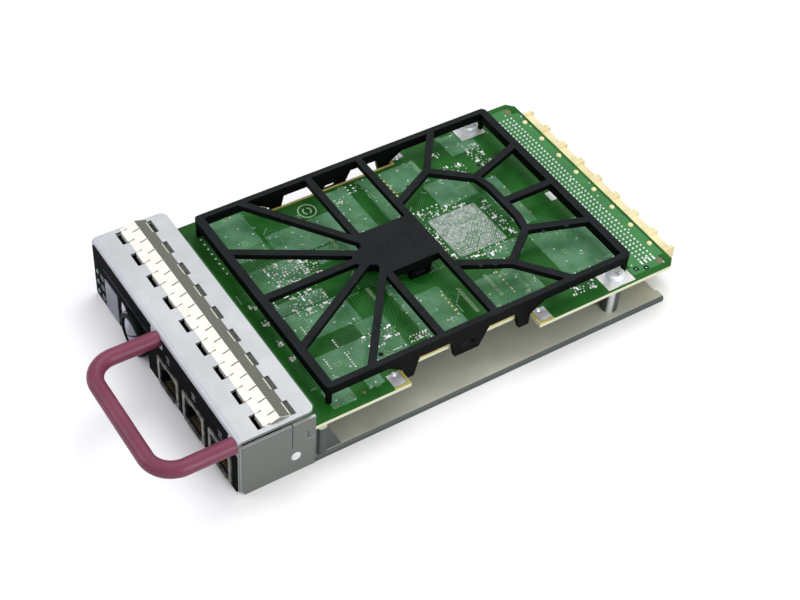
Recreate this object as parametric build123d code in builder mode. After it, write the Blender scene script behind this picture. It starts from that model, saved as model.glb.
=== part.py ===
"""Plug-in monitoring module for a storage enclosure.

A folded steel tray carries a circuit board. A bent steel bezel closes the front, with a pull
handle, a display, two push-buttons and three shielded sockets. A strip of spring fingers on the
bezel earths the module against its bay, a moulded web guards the solder side of the board, and
eight receptacle modules under the rear edge plug into the backplane.

Millimetres. X runs across the module, the front faces -Y, Z is up, and the origin is the middle of
the whole module's footprint, at the height of its underside. A size whose name ends in _y is a
distance behind the bezel's front face.
"""
import os
from math import atan2, cos, degrees, hypot, radians, sin

from build123d import *

# Sheet metal
bezel_sheet = 1.2
tray_sheet = 1.2
bend_radius = 2.0
overcut = 1.0

# Bezel
bezel_width = 114.9
bezel_height = 28.8
bezel_depth = 30.3
side_plate_drop = 2.9
flange_inset = 0.55
flange_corner = 3.0
bottom_flange_inset = 3.45
bottom_flange_depth = 12.0
slots_per_row = 9
slot_share = 11.2
slot_width = 6.9
slot_length = 2.6
front_slot_y = 10.1
rear_slot_y = 22.5
relief_slit_y = 21.0
relief_slit_width = 0.5
relief_slit_length = 13.0
latch_reach = 3.2
latch_slit = 0.6
latch_z = 15.6
latch_rise = 3.9

# Rivets through the bezel's side plates and the tray's wings
rivet_diameter = 2.4
rivet_y = 22.4
rivet_z = 8.8
rivet_head_diameter = 4.0
rivet_head_height = 0.25
rivet_tail_diameter = 3.8
rivet_tail_height = 0.7

# Spring finger strip
finger_sheet = 0.3
finger_crest = 1.8
finger_front_y = 11.4
finger_crest_y = 17.3
finger_rear_y = 22.2
finger_left_margin = 1.35
finger_right_margin = 2.55
finger_slit = 0.5
crest_slit_length = 3.4
crest_slit_shift = 1.2
heel_slit_length = 3.0
heel_overlap = 1.4
tongue_reach = 1.0
tongue_gap = 0.1

# Tray
tray_inset = 0.25
tray_length = 190.8
tray_front_y = 6.0
lip_gap = 0.4
tongue_clearance = 0.15
wing_gap = 1.7
gusset_length = 6.4
bead_length = 3.6
bead_corner = 1.1
ear_width = 4.0
ear_length = 1.2

# Circuit board
board_inset = 0.1
board_thickness = 1.6
board_front_y = 2.4
board_overhang = 3.9
board_corner = 3.0
recess_depth = 8.4
recess_corner = 1.0
recess_front_y = 71.1
recess_rear_y = 128.5

# Guard web over the board
cover_front_y = 39.1
cover_rear_overlap = 7.1
cover_height = 9.2
cover_corner = 2.0
cover_wall = 2.5
front_rim_width = 3.4
rim_depth = 4.0
rib_width = 3.0
rib_depth = 2.3
rib_end_inset = 1.55
web_offset = 0.8
hub_width = 23.4
hub_front_y = 87.2
hub_rear_y = 113.8
hub_depth = 3.8
hub_corner = 1.5
hub_nose_width = 12.0
hub_nose_length = 6.0
hub_nose_angle = 62.0
front_cross_rib_y = 88.6
rear_cross_rib_y = 112.2
ring_rear_y = 149.6
ring_bridge_x = 9.5
ring_shoulder_x = 17.0
ring_shoulder_y = 148.0
ring_elbow_x = 29.5
ring_elbow_y = 132.6
ring_foot_x = 19.8
rear_spoke_x = 25.6
side_spoke_y = 147.6
fan_root_y = 89.0
fan_far_root_y = 94.6
front_spoke_x = 28.0
far_spoke_y = 58.4
side_wall = 1.8
wall_band = 1.0
wall_slope = 6.6
leg_depth = 3.0
leg_shoulder = 0.6
leg_clearance = 0.5
leg_side_clearance = 0.6
leg_taper = 2.0
side_leg_width = 4.6
centre_leg_shift = 0.2
centre_leg_width = 10.8
leg_slot_length = 6.0
leg_slot_height = 2.6
barb_reach = 1.6
barb_edge = 0.7
barb_width = 3.0
barb_clearance = 0.3
foot_diameter = 2.4
foot_side_inset = 1.4
foot_end_inset = 1.6
tab_sheet = 1.6
tab_y = 103.5
tab_width = 9.0
tab_slot_length = 5.0
tab_slot_height = 2.0

# Rear fixings
fixing_side_inset = 5.5
fixing_end_inset = 22.7
screw_diameter = 3.8
screw_length = 8.0
screw_head_diameter = 8.0
screw_head_height = 2.6
screw_head_round = 1.4
driver_slot_length = 3.6
driver_slot_width = 0.8
driver_slot_depth = 1.2
washer_diameter = 9.0
washer_thickness = 0.8
screw_clearance = 0.2
thread_clearance = 0.05
bore_depth = 9.0
standoff_diameter = 6.8
standoff_foot_diameter = 5.4

# Handle
rod_diameter = 6.2
handle_left_share = -2.26
handle_right_share = 46.82
handle_drop = 3.8
handle_reach = 31.2
handle_bend = 10.0
tenon_diameter = 3.2
tenon_head_diameter = 4.6
tenon_head_thickness = 1.0
tenon_clearance = 0.1

# Front overlay
overlay_thickness = 0.3
overlay_side_margin = 1.25
overlay_bottom = 0.8
overlay_top_margin = 1.9
overlay_corner = 1.5
handle_notch_width = 10.0
handle_notch_height = 6.3
handle_notch_corner = 3.0
left_notch_shift = -1.0
right_notch_shift = 0.6

# Sockets
jack_count = 3
jack_pitch_share = 16.97
jack_centre_share = 21.67
jack_width = 16.2
jack_height = 13.7
jack_depth = 18.0
jack_proud = 0.9
jack_floor_gap = 0.5
shield_sheet = 0.3
shield_frame = 1.7
shield_sill = 0.9
shield_head = 1.2
shield_window_corner = 1.5
sill_lip_reach = 0.7
sill_lip_sheet = 0.3
sill_lip_drop = 0.2
plug_width = 11.8
plug_height = 7.8
plug_depth = 13.0
plug_floor = 1.7
latch_width = 6.2
latch_height = 1.4
latch_nose_width = 3.4
latch_nose_height = 1.0
contacts_per_jack = 8
contact_pitch = 1.02
contact_width = 0.4
contact_sheet = 0.3
contact_entry = 0.6
contact_ramp = 8.4
contact_rise = 1.9
insert_clearance = 0.1
window_clearance = 0.3

# Indicator board behind the front
indicator_board_y = 9.0
indicator_board_thickness = 1.6
indicator_side_gap = 0.4
indicator_overhang = 10.6
indicator_clearance = 0.3
header_shift = 2.9
header_length = 24.0
header_size = 5.0
header_step = 2.5

# Display
display_share = -35.6
display_width = 10.8
display_bottom = 1.8
display_height = 15.2
lens_thickness = 0.7
lens_corner = 0.5
lens_step = 0.9
lens_clearance = 0.1
lens_boss_proud = 0.3
display_body_depth = 6.6
display_body_side_inset = 0.5
display_body_end_inset = 0.4
display_body_corner = 0.4
digit_pitch = 4.6
digit_width = 3.8
digit_height = 7.6
digit_recess = 0.3

# Status lamps
lamp_count = 3
lamp_side_margin = 4.05
lamp_end_margin = 0.4
lamp_drop = 0.3
lamp_diameter = 2.2
lamp_dome = 0.4
lamp_proud = 0.5
lamp_base_length = 3.0
lamp_clearance = 0.15

# Push-buttons and their collar
pod_share = -18.45
pod_diameter = 18.6
pod_bottom = 0.9
pod_proud = 2.6
pod_edge_round = 1.2
pod_notch_clearance = 0.5
pod_notch_depth = 5.0
collar_face_width = 2.4
collar_wall = 0.9
button_flange_step = 0.7
button_flange_thickness = 1.6
button_split_angle = 38.0
button_gap = 0.5
button_clearance = 0.3
button_travel = 0.8
button_proud = 0.6
button_crown = 1.3
button_lip = 1.2
stem_diameter = 2.6
stem_offset = 3.5
stem_entry = 0.7
stem_room = 0.5
switch_size = 4.5
switch_height = 3.0

# Backplane receptacle
module_pitch = 12.0
module_count = 8
module_gap = 0.1
module_engagement = 14.1
module_overhang = 4.7
module_height = 10.0
module_chamfer = 3.0
module_rib = 1.3
module_rib_proud = 1.2
module_rib_gap = 0.4
module_rib_rise = 1.1
module_rib_height = 9.0
module_rib_corner = 1.0
peg_diameter = 2.2
peg_inset = 2.6
peg_clearance = 0.1
peg_proud = 0.7
peg_round = 0.5
pin_pitch = 2.0
pin_rows = 4
pin_columns = 6
pin_size = 0.6
pin_proud = 0.3
pin_first_inset = 12.1

# Parts on the hidden underside of the board
chip_edge = 0.25
processor_x = 0.5
processor_y = 133.6
processor_size = 23.0
processor_height = 2.4
memory_x = -29.0
memory_y = 127.0
memory_pitch = 22.0
memory_width = 10.2
memory_length = 18.4
memory_height = 1.4
flash_x = 29.0
flash_y = 122.0
flash_width = 14.0
flash_length = 20.0
logic_height = 1.6
rear_logic_x = 28.0
rear_logic_y = 149.0
rear_logic_size = 12.0
front_logic_x = -8.0
front_logic_y = 92.0
front_logic_size = 10.0
crystal_x = 18.0
crystal_y = 106.0
crystal_length = 11.0
crystal_width = 4.6
crystal_height = 3.6
capacitor_count = 3
capacitor_x = -34.0
capacitor_first_y = 52.0
capacitor_pitch = 14.0
capacitor_base = 8.4
capacitor_base_corner = 1.0
capacitor_base_height = 0.8
capacitor_diameter = 8.0
capacitor_height = 10.0
capacitor_round = 0.6
inductor_count = 2
inductor_x = 32.0
inductor_first_y = 54.0
inductor_pitch = 18.0
inductor_size = 12.0
inductor_corner = 2.5
inductor_height = 6.0
buzzer_x = -10.0
buzzer_y = 60.0
buzzer_diameter = 12.0
buzzer_height = 8.6
buzzer_hole_diameter = 2.4
buzzer_hole_depth = 1.5

# Worked out: the sheet metal, which follows the bezel
half_bezel = bezel_width / 2
side_plate_height = bezel_height - side_plate_drop
tray_floor = bezel_sheet + tray_sheet
half_tray = half_bezel - tray_inset
half_tongue = half_bezel - bezel_sheet - tongue_clearance
wing_start = half_tongue - tray_sheet

# Worked out: the board, which lies on the tray's wings and on top of the sockets
half_board = half_tongue - board_inset
board_under = tray_floor + jack_floor_gap + jack_height
board_top = board_under + board_thickness
board_rear_y = tray_length + board_overhang
recess_x = half_board - recess_depth
fixing_x = half_board - fixing_side_inset
fixing_y = tray_length - fixing_end_inset

# Worked out: the guard web, whose legs stand in the board's recesses
wall_inner = recess_x + leg_side_clearance
half_cover = wall_inner + side_wall
cover_rear_y = fixing_y + cover_rear_overlap
cover_top = board_top + cover_height

# Worked out: places on the front, each a share of the bezel's width in hundredths
front_unit = bezel_width / 100
slot_pitch = slot_share * front_unit
handle_left_x = handle_left_share * front_unit
handle_right_x = handle_right_share * front_unit
handle_z = bezel_height - handle_drop
jack_x = [
    (jack_centre_share + (i - (jack_count - 1) / 2) * jack_pitch_share) * front_unit
    for i in range(jack_count)
]
jack_middle_z = board_under - jack_height / 2
display_x = display_share * front_unit
display_z = display_bottom + display_height / 2
pod_x = pod_share * front_unit
pod_z = pod_bottom + pod_diameter / 2
notch_radius = pod_diameter / 2 + pod_notch_clearance

# Worked out: the indicator board and its lamps
indicator_left_x = -wing_start + indicator_side_gap
indicator_right_x = pod_x + indicator_overhang
indicator_bottom = tray_floor + indicator_clearance
indicator_top = board_under - indicator_clearance
indicator_z = (indicator_bottom + indicator_top) / 2
lamp_x = -half_bezel + lamp_side_margin
lamp_spread = indicator_top - indicator_bottom - lamp_diameter - 2 * lamp_end_margin
lamp_z = [
    indicator_z - lamp_drop + (i / (lamp_count - 1) - 0.5) * lamp_spread for i in range(lamp_count)
]

# Worked out: the receptacle, and the middle of the whole module
module_rear_y = board_rear_y + module_overhang
rear_reach = module_rear_y + module_rib_proud
front_y = (handle_reach - rear_reach) / 2
module_x = [(i - (module_count - 1) / 2) * module_pitch for i in range(module_count)]


def at(y):
    """Distance from the bezel's front face, as a place on the Y axis."""
    return front_y + y


def save(piece, name):
    """Label a finished piece and write it out."""
    piece.part.label = name
    export_step(piece.part, f"parts/{name}.step")


os.makedirs("parts", exist_ok=True)

# Tray: floor with down-turned lips, and a narrower tongue between the bezel's side plates
lip_start = bezel_depth + lip_gap
bead_start = bezel_depth + wing_gap
wing_end = bead_start + bead_length
fixings = [(-fixing_x, at(fixing_y)), (fixing_x, at(fixing_y))]
with BuildPart() as base_tray:
    with BuildSketch(Plane.XZ.offset(-at(lip_start))) as lip_section:
        with BuildLine():
            Polyline(
                (0, bezel_sheet),
                (half_tray - tray_sheet, bezel_sheet),
                (half_tray - tray_sheet, 0),
                (half_tray, 0),
                (half_tray, tray_floor),
                (0, tray_floor),
                close=True,
            )
        make_face()
        outer_bend = lip_section.vertices().group_by(Axis.X)[-1].sort_by(Axis.Y)[-1]
        fillet(outer_bend, radius=tray_sheet)
        mirror(about=Plane.YZ)
    extrude(amount=-(tray_length - lip_start))
    with BuildSketch(Plane.XY.offset(bezel_sheet)):
        with Locations((0, at((tray_front_y + lip_start) / 2))):
            Rectangle(2 * half_tongue, lip_start - tray_front_y)
    extrude(amount=tray_sheet)
    # Wings that stand up inside the bezel and carry the board, each with a sloping gusset behind
    with BuildSketch(Plane.YZ.offset(wing_start)):
        with BuildLine():
            Polyline(
                (at(tray_front_y), bezel_sheet),
                (at(tray_front_y), board_under),
                (at(wing_end), board_under),
                (at(wing_end + gusset_length), tray_floor),
                (at(wing_end + gusset_length), bezel_sheet),
                close=True,
            )
        make_face()
    extrude(amount=tray_sheet)
    # Beads just behind the bezel's side plates
    with BuildSketch(Plane.XY.offset(tray_floor)) as bead_section:
        with Locations((half_tray - tray_sheet, at(bead_start + bead_length / 2))):
            Rectangle(2 * tray_sheet, bead_length)
        fillet(bead_section.vertices().group_by(Axis.X)[-1], radius=bead_corner)
    extrude(amount=board_under - tray_floor)
    mirror(about=Plane.YZ)
    # Rear edge: drawn back between two ears
    with BuildSketch(Plane.XY.offset(bezel_sheet)):
        with Locations((0, at(tray_length))):
            SlotOverall(2 * (half_tray - ear_width), 2 * ear_length)
    extrude(amount=tray_sheet, mode=Mode.SUBTRACT)
    # Holes that the standoffs are pressed into
    with BuildSketch(Plane.XY.offset(bezel_sheet)):
        with Locations(*fixings):
            Circle(standoff_foot_diameter / 2)
    extrude(amount=tray_sheet, mode=Mode.SUBTRACT)
    # Rivet holes through the wings
    with BuildSketch(Plane.YZ.offset(-half_bezel)):
        with Locations((at(rivet_y), rivet_z)):
            Circle(rivet_diameter / 2)
    extrude(amount=bezel_width, mode=Mode.SUBTRACT)
save(base_tray, "base_tray")

# Bezel: one bent sheet, with the front face, top and bottom flanges and two side plates
with BuildPart() as front_bezel:
    with BuildSketch(Plane.YZ.offset(-half_bezel + flange_inset)) as flange_section:
        with BuildLine():
            Polyline(
                (at(0), bend_radius),
                (at(0), bezel_height),
                (at(bezel_depth), bezel_height),
                (at(bezel_depth), bezel_height - bezel_sheet),
                (at(bezel_sheet), bezel_height - bezel_sheet),
                (at(bezel_sheet), bend_radius),
                close=True,
            )
        make_face()
        top_corner = flange_section.vertices().group_by(Axis.X)[0].sort_by(Axis.Y)[-1]
        fillet(top_corner, radius=bend_radius)
    extrude(amount=bezel_width - 2 * flange_inset)
    rear_corners = front_bezel.edges().filter_by(Axis.Z).group_by(Axis.Y)[-1]
    fillet(rear_corners, radius=flange_corner)
    with BuildSketch(Plane.YZ.offset(-half_bezel + bottom_flange_inset)) as bottom_section:
        with BuildLine():
            Polyline(
                (at(0), 0),
                (at(0), bend_radius + bezel_sheet),
                (at(bezel_sheet), bend_radius + bezel_sheet),
                (at(bezel_sheet), bezel_sheet),
                (at(bottom_flange_depth), bezel_sheet),
                (at(bottom_flange_depth), 0),
                close=True,
            )
        make_face()
        low_corner = bottom_section.vertices().group_by(Axis.X)[0].sort_by(Axis.Y)[0]
        fillet(low_corner, radius=bend_radius)
    extrude(amount=bezel_width - 2 * bottom_flange_inset)
    with BuildSketch(Plane.XY.offset(bend_radius)) as side_section:
        with Locations((0, at(bezel_depth / 2))):
            Rectangle(bezel_width, bezel_depth)
        fillet(side_section.vertices().group_by(Axis.Y)[0], radius=bend_radius)
        inside_length = bezel_depth + overcut - bezel_sheet
        with Locations((0, at(bezel_sheet + inside_length / 2))):
            Rectangle(bezel_width - 2 * bezel_sheet, inside_length, mode=Mode.SUBTRACT)
    extrude(amount=side_plate_height - bend_radius)
    with BuildSketch(Plane.XY):
        for side in (-1, 1):
            with Locations((side * (half_bezel - bezel_sheet / 2), at((bend_radius + bezel_depth) / 2))):
                Rectangle(bezel_sheet, bezel_depth - bend_radius)
    extrude(amount=bend_radius)
    # Two rows of slots that the spring fingers hook into
    with BuildSketch(Plane.XY.offset(bezel_height)):
        with Locations((0, at((front_slot_y + rear_slot_y) / 2))):
            with GridLocations(slot_pitch, rear_slot_y - front_slot_y, slots_per_row, 2):
                Rectangle(slot_width, slot_length)
    extrude(amount=-2 * bezel_sheet, mode=Mode.SUBTRACT)
    # Front face: socket windows, display window, lamp holes and handle holes
    with BuildSketch(Plane.XZ.offset(-at(-overcut))):
        with Locations(*[(x, jack_middle_z) for x in jack_x]):
            Rectangle(jack_width + 2 * window_clearance, jack_height + 2 * window_clearance)
        with Locations((display_x, display_z)):
            Rectangle(display_width - 2 * lens_step, display_height - 2 * lens_step)
        with Locations(*[(lamp_x, z) for z in lamp_z]):
            Circle(lamp_diameter / 2 + lamp_clearance)
        with Locations((handle_left_x, handle_z), (handle_right_x, handle_z)):
            Circle(tenon_diameter / 2 + tenon_clearance)
    extrude(amount=-(bezel_sheet + 2 * overcut), mode=Mode.SUBTRACT)
    # Round notch for the push-buttons, open below
    with BuildSketch(Plane.XZ.offset(-at(-overcut))):
        with Locations((pod_x, pod_z)):
            Circle(notch_radius)
        with Locations((pod_x, (pod_z - overcut) / 2)):
            Rectangle(2 * notch_radius, pod_z + overcut)
    extrude(amount=-(pod_notch_depth + overcut), mode=Mode.SUBTRACT)
    # Side plates: relief slit, hooked latch slit at the rear edge and rivet hole, on both sides
    with BuildSketch(Plane.YZ.offset(-half_bezel)):
        with Locations((at(relief_slit_y), side_plate_height + (overcut - relief_slit_length) / 2)):
            Rectangle(relief_slit_width, relief_slit_length + overcut)
        with Locations((at(bezel_depth - (latch_reach - overcut) / 2), latch_z)):
            Rectangle(latch_reach + overcut, latch_slit)
        with Locations((at(bezel_depth - latch_reach + latch_slit / 2), latch_z + latch_rise / 2)):
            Rectangle(latch_slit, latch_rise)
        with Locations((at(rivet_y), rivet_z)):
            Circle(rivet_diameter / 2)
    extrude(amount=bezel_width, mode=Mode.SUBTRACT)
save(front_bezel, "front_bezel")

# Rivets that join the bezel's side plates to the tray's wings
with BuildPart() as side_rivets:
    with BuildSketch(Plane.YZ.offset(wing_start)):
        with Locations((at(rivet_y), rivet_z)):
            Circle(rivet_diameter / 2)
    extrude(amount=half_bezel - wing_start)
    with BuildSketch(Plane.YZ.offset(half_bezel)):
        with Locations((at(rivet_y), rivet_z)):
            Circle(rivet_head_diameter / 2)
    extrude(amount=rivet_head_height, taper=35)
    with BuildSketch(Plane.YZ.offset(wing_start)):
        with Locations((at(rivet_y), rivet_z)):
            Circle(rivet_tail_diameter / 2)
    extrude(amount=-rivet_tail_height, taper=20)
    mirror(about=Plane.YZ)
save(side_rivets, "side_rivets")

# Spring finger strip: a folded ridge, slit into fingers, whose tongues hook into the slots
strip_length = bezel_width - finger_left_margin - finger_right_margin
front_run = finger_crest_y - finger_front_y
rear_run = finger_rear_y - finger_crest_y
front_foot = finger_sheet * hypot(front_run, finger_crest) / finger_crest
rear_foot = finger_sheet * hypot(rear_run, finger_crest) / finger_crest
front_tongue_y = front_slot_y + slot_length / 2 - tongue_gap - finger_sheet / 2
rear_tongue_y = rear_slot_y - slot_length / 2 + tongue_gap + finger_sheet / 2
heel_length = finger_front_y + heel_overlap - front_tongue_y + finger_sheet / 2
tongue_width = slot_width - 2 * finger_slit
with BuildPart() as finger_strip:
    with BuildSketch(Plane.YZ.offset(-half_bezel + finger_left_margin)):
        with BuildLine():
            Polyline(
                (at(finger_front_y), bezel_height),
                (at(finger_crest_y), bezel_height + finger_crest),
                (at(finger_rear_y), bezel_height),
                (at(finger_rear_y - rear_foot), bezel_height),
                (at(finger_crest_y), bezel_height + finger_crest * (1 - rear_foot / rear_run)),
                (at(finger_front_y + front_foot), bezel_height),
                close=True,
            )
        make_face()
    extrude(amount=strip_length)
    # Slits over the crest and beside each tongue's heel
    with BuildSketch(Plane.XY.offset(bezel_height)):
        with Locations((0, at(finger_crest_y - crest_slit_shift))):
            with GridLocations(slot_pitch / 2, 1, 2 * slots_per_row - 1, 1):
                Rectangle(finger_slit, crest_slit_length)
        for side in (-1, 1):
            heel_slit_x = side * (slot_width - finger_slit) / 2
            with Locations((heel_slit_x, at(finger_front_y + heel_slit_length / 4))):
                with GridLocations(slot_pitch, 1, slots_per_row, 1):
                    Rectangle(finger_slit, heel_slit_length)
    extrude(amount=finger_crest + overcut, mode=Mode.SUBTRACT)
    with BuildSketch(Plane.XY.offset(bezel_height - bezel_sheet - tongue_reach)):
        for tongue_y in (front_tongue_y, rear_tongue_y):
            with Locations((0, at(tongue_y))):
                with GridLocations(slot_pitch, 1, slots_per_row, 1):
                    Rectangle(tongue_width, finger_sheet)
    extrude(amount=bezel_sheet + tongue_reach + finger_sheet)
    # Flat heels that lead from the front tongues to the ridge
    with BuildSketch(Plane.XY.offset(bezel_height)):
        with Locations((0, at(front_tongue_y - finger_sheet / 2 + heel_length / 2))):
            with GridLocations(slot_pitch, 1, slots_per_row, 1):
                Rectangle(tongue_width, heel_length)
    extrude(amount=finger_sheet)
save(finger_strip, "finger_strip")

# Handle: a coated rod bent to a U, its ends staked behind the bezel
bar_y = -(handle_reach - rod_diameter / 2)
with BuildPart() as handle:
    with BuildLine(Plane.XY.offset(handle_z)) as rod_path:
        FilletPolyline(
            (handle_left_x, at(-overlay_thickness)),
            (handle_left_x, at(bar_y)),
            (handle_right_x, at(bar_y)),
            (handle_right_x, at(-overlay_thickness)),
            radius=handle_bend,
        )
    with BuildSketch(Plane.XZ.offset(-at(-overlay_thickness))):
        with Locations((handle_left_x, handle_z)):
            Circle(rod_diameter / 2)
    sweep(path=rod_path.line)
    with BuildSketch(Plane.XZ.offset(-at(-overlay_thickness))):
        with Locations((handle_left_x, handle_z), (handle_right_x, handle_z)):
            Circle(rod_diameter / 2)
    extrude(amount=-overlay_thickness)
    with BuildSketch(Plane.XZ.offset(-at(0))):
        with Locations((handle_left_x, handle_z), (handle_right_x, handle_z)):
            Circle(tenon_diameter / 2)
    extrude(amount=-(bezel_sheet + tenon_head_thickness))
    with BuildSketch(Plane.XZ.offset(-at(bezel_sheet))):
        with Locations((handle_left_x, handle_z), (handle_right_x, handle_z)):
            Circle(tenon_head_diameter / 2)
    extrude(amount=-tenon_head_thickness)
save(handle, "handle")

# Front overlay: a thin black sheet with rounded notches round the handle's feet
overlay_width = bezel_width - 2 * overlay_side_margin
overlay_height = bezel_height - overlay_top_margin - overlay_bottom
notch_height = handle_notch_height + overcut
notch_z = bezel_height - overlay_top_margin - handle_notch_height + notch_height / 2
with BuildPart() as front_overlay:
    with BuildSketch(Plane.XZ.offset(-at(0))):
        with Locations((0, overlay_bottom + overlay_height / 2)):
            RectangleRounded(overlay_width, overlay_height, overlay_corner)
        with Locations(
            (handle_left_x + left_notch_shift, notch_z),
            (handle_right_x + right_notch_shift, notch_z),
        ):
            RectangleRounded(
                handle_notch_width, notch_height, handle_notch_corner, mode=Mode.SUBTRACT
            )
        with Locations(*[(x, jack_middle_z) for x in jack_x]):
            Rectangle(
                jack_width + 2 * window_clearance,
                jack_height + 2 * window_clearance,
                mode=Mode.SUBTRACT,
            )
        with Locations((display_x, display_z)):
            Rectangle(
                display_width + 2 * lens_clearance,
                display_height + 2 * lens_clearance,
                mode=Mode.SUBTRACT,
            )
        with Locations(*[(lamp_x, z) for z in lamp_z]):
            Circle(lamp_diameter / 2 + lamp_clearance, mode=Mode.SUBTRACT)
        with Locations((pod_x, pod_z)):
            Circle(notch_radius, mode=Mode.SUBTRACT)
        with Locations((pod_x, (pod_z - overcut) / 2)):
            Rectangle(2 * notch_radius, pod_z + overcut, mode=Mode.SUBTRACT)
    extrude(amount=overlay_thickness)
save(front_overlay, "front_overlay")

# Display lens: a grey filter plate with a step that fits the bezel's window
lens_boss_inset = 2 * (lens_step + lens_clearance)
with BuildPart() as display_lens:
    with BuildSketch(Plane.XZ.offset(-at(0))):
        with Locations((display_x, display_z)):
            RectangleRounded(display_width, display_height, lens_corner)
    extrude(amount=lens_thickness)
    with BuildSketch(Plane.XZ.offset(-at(0))):
        with Locations((display_x, display_z)):
            Rectangle(display_width - lens_boss_inset, display_height - lens_boss_inset)
    extrude(amount=-(bezel_sheet + lens_boss_proud))
save(display_lens, "display_lens")

# Display module on the indicator board, behind the lens
display_front = indicator_board_y - display_body_depth
display_body_width = display_width - 2 * display_body_side_inset
display_body_height = indicator_top - indicator_bottom - 2 * display_body_end_inset
with BuildPart() as display_module:
    with BuildSketch(Plane.XZ.offset(-at(display_front))):
        with Locations((display_x, indicator_z)):
            Rectangle(display_body_width, display_body_height)
    extrude(amount=-display_body_depth)
    fillet(display_module.edges().filter_by(Axis.Z), radius=display_body_corner)
    with BuildSketch(Plane.XZ.offset(-at(display_front))):
        with Locations((display_x, indicator_z)):
            with GridLocations(digit_pitch, 1, 2, 1):
                Rectangle(digit_width, digit_height)
    extrude(amount=-digit_recess, mode=Mode.SUBTRACT)
save(display_module, "display_module")

# Indicator board: stands behind the front and carries display, lamps and switches
with BuildPart() as indicator_board:
    with BuildSketch(Plane.XZ.offset(-at(indicator_board_y))):
        with Locations(((indicator_left_x + indicator_right_x) / 2, indicator_z)):
            Rectangle(indicator_right_x - indicator_left_x, indicator_top - indicator_bottom)
    extrude(amount=-indicator_board_thickness)
save(indicator_board, "indicator_board")

# Right-angle header that hangs the indicator board on the main board
header_front = indicator_board_y + indicator_board_thickness
with BuildPart() as board_header:
    with BuildSketch(Plane.YZ.offset(display_x + header_shift - header_length / 2)):
        with BuildLine():
            Polyline(
                (at(header_front), board_under),
                (at(header_front), board_under - header_size),
                (at(header_front + header_step), board_under - header_size),
                (at(header_front + header_step), board_under - header_step),
                (at(header_front + header_size), board_under - header_step),
                (at(header_front + header_size), board_under),
                close=True,
            )
        make_face()
    extrude(amount=header_length)
save(board_header, "board_header")

# Status lamps: domed light pipes that stand on the indicator board
for index, z in enumerate(lamp_z, start=1):
    with BuildPart() as status_lamp:
        with BuildSketch(Plane.XZ.offset(-at(-lamp_proud))):
            with Locations((lamp_x, z)):
                Circle(lamp_diameter / 2)
        extrude(amount=-(indicator_board_y + lamp_proud))
        fillet(status_lamp.edges().group_by(Axis.Y)[0], radius=lamp_dome)
        with BuildSketch(Plane.XZ.offset(-at(indicator_board_y))):
            with Locations((lamp_x, z)):
                Rectangle(lamp_diameter, lamp_diameter)
        extrude(amount=lamp_base_length)
    save(status_lamp, f"status_lamp_{index}")

# Collar: a round ring that fills the notch in the bezel and guides the two push-buttons
button_face_radius = pod_diameter / 2 - collar_face_width
button_flange_radius = button_face_radius + button_flange_step
guide_radius = button_flange_radius + button_clearance
lip_back = -pod_proud + button_lip
with BuildPart() as button_collar:
    with BuildSketch(Plane.XZ.offset(-at(-pod_proud))):
        with Locations((pod_x, pod_z)):
            Circle(pod_diameter / 2)
    extrude(amount=-(pod_proud + bezel_sheet))
    fillet(button_collar.edges().group_by(Axis.Y)[0], radius=pod_edge_round)
    with BuildSketch(Plane.XZ.offset(-at(bezel_sheet))):
        with Locations((pod_x, pod_z)):
            Circle(guide_radius + collar_wall)
        with Locations((pod_x, indicator_z)):
            Rectangle(
                2 * pod_diameter, indicator_top - indicator_bottom, mode=Mode.INTERSECT
            )
    extrude(amount=-(indicator_board_y - bezel_sheet))
    with BuildSketch(Plane.XZ.offset(-at(-pod_proud))):
        with Locations((pod_x, pod_z)):
            Circle(button_face_radius + button_clearance)
    extrude(amount=-button_lip, mode=Mode.SUBTRACT)
    with BuildSketch(Plane.XZ.offset(-at(lip_back))):
        with Locations((pod_x, pod_z)):
            Circle(guide_radius)
    extrude(amount=-(indicator_board_y - lip_back), mode=Mode.SUBTRACT)
save(button_collar, "button_collar")

# Push-buttons: two halves of a domed disc, split on a slant, each with a stem to its switch
split = radians(button_split_angle)
face_plane = Plane(
    origin=(pod_x, at(0), pod_z), x_dir=(cos(split), 0, sin(split)), z_dir=(0, -1, 0)
)
pod_axis = Axis((pod_x, at(0), pod_z), (0, 1, 0))
face_front = -pod_proud - button_proud
flange_front = lip_back + button_clearance
flange_back = flange_front + button_flange_thickness
stem_tip = indicator_board_y - switch_height + stem_entry
for name, side in (("upper_button", 1), ("lower_button", -1)):
    with BuildPart() as push_button:
        with BuildSketch(Plane.XY.offset(pod_z)):
            with BuildLine():
                crown = TangentArc(
                    (pod_x, at(face_front)),
                    (pod_x + button_face_radius, at(face_front + button_crown)),
                    tangent=(1, 0),
                )
                Polyline(
                    crown @ 1,
                    (pod_x + button_face_radius, at(flange_front)),
                    (pod_x + button_flange_radius, at(flange_front)),
                    (pod_x + button_flange_radius, at(flange_back)),
                    (pod_x, at(flange_back)),
                    crown @ 0,
                )
            make_face()
        revolve(axis=pod_axis)
        with BuildSketch(face_plane):
            with Locations((0, -side * (pod_diameter - button_gap / 2))):
                Rectangle(2 * pod_diameter, 2 * pod_diameter)
        extrude(amount=pod_diameter, both=True, mode=Mode.SUBTRACT)
        with BuildSketch(face_plane.offset(-flange_back)):
            with Locations((0, side * stem_offset)):
                Circle(stem_diameter / 2)
        extrude(amount=-(stem_tip - flange_back))
    save(push_button, name)

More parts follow.
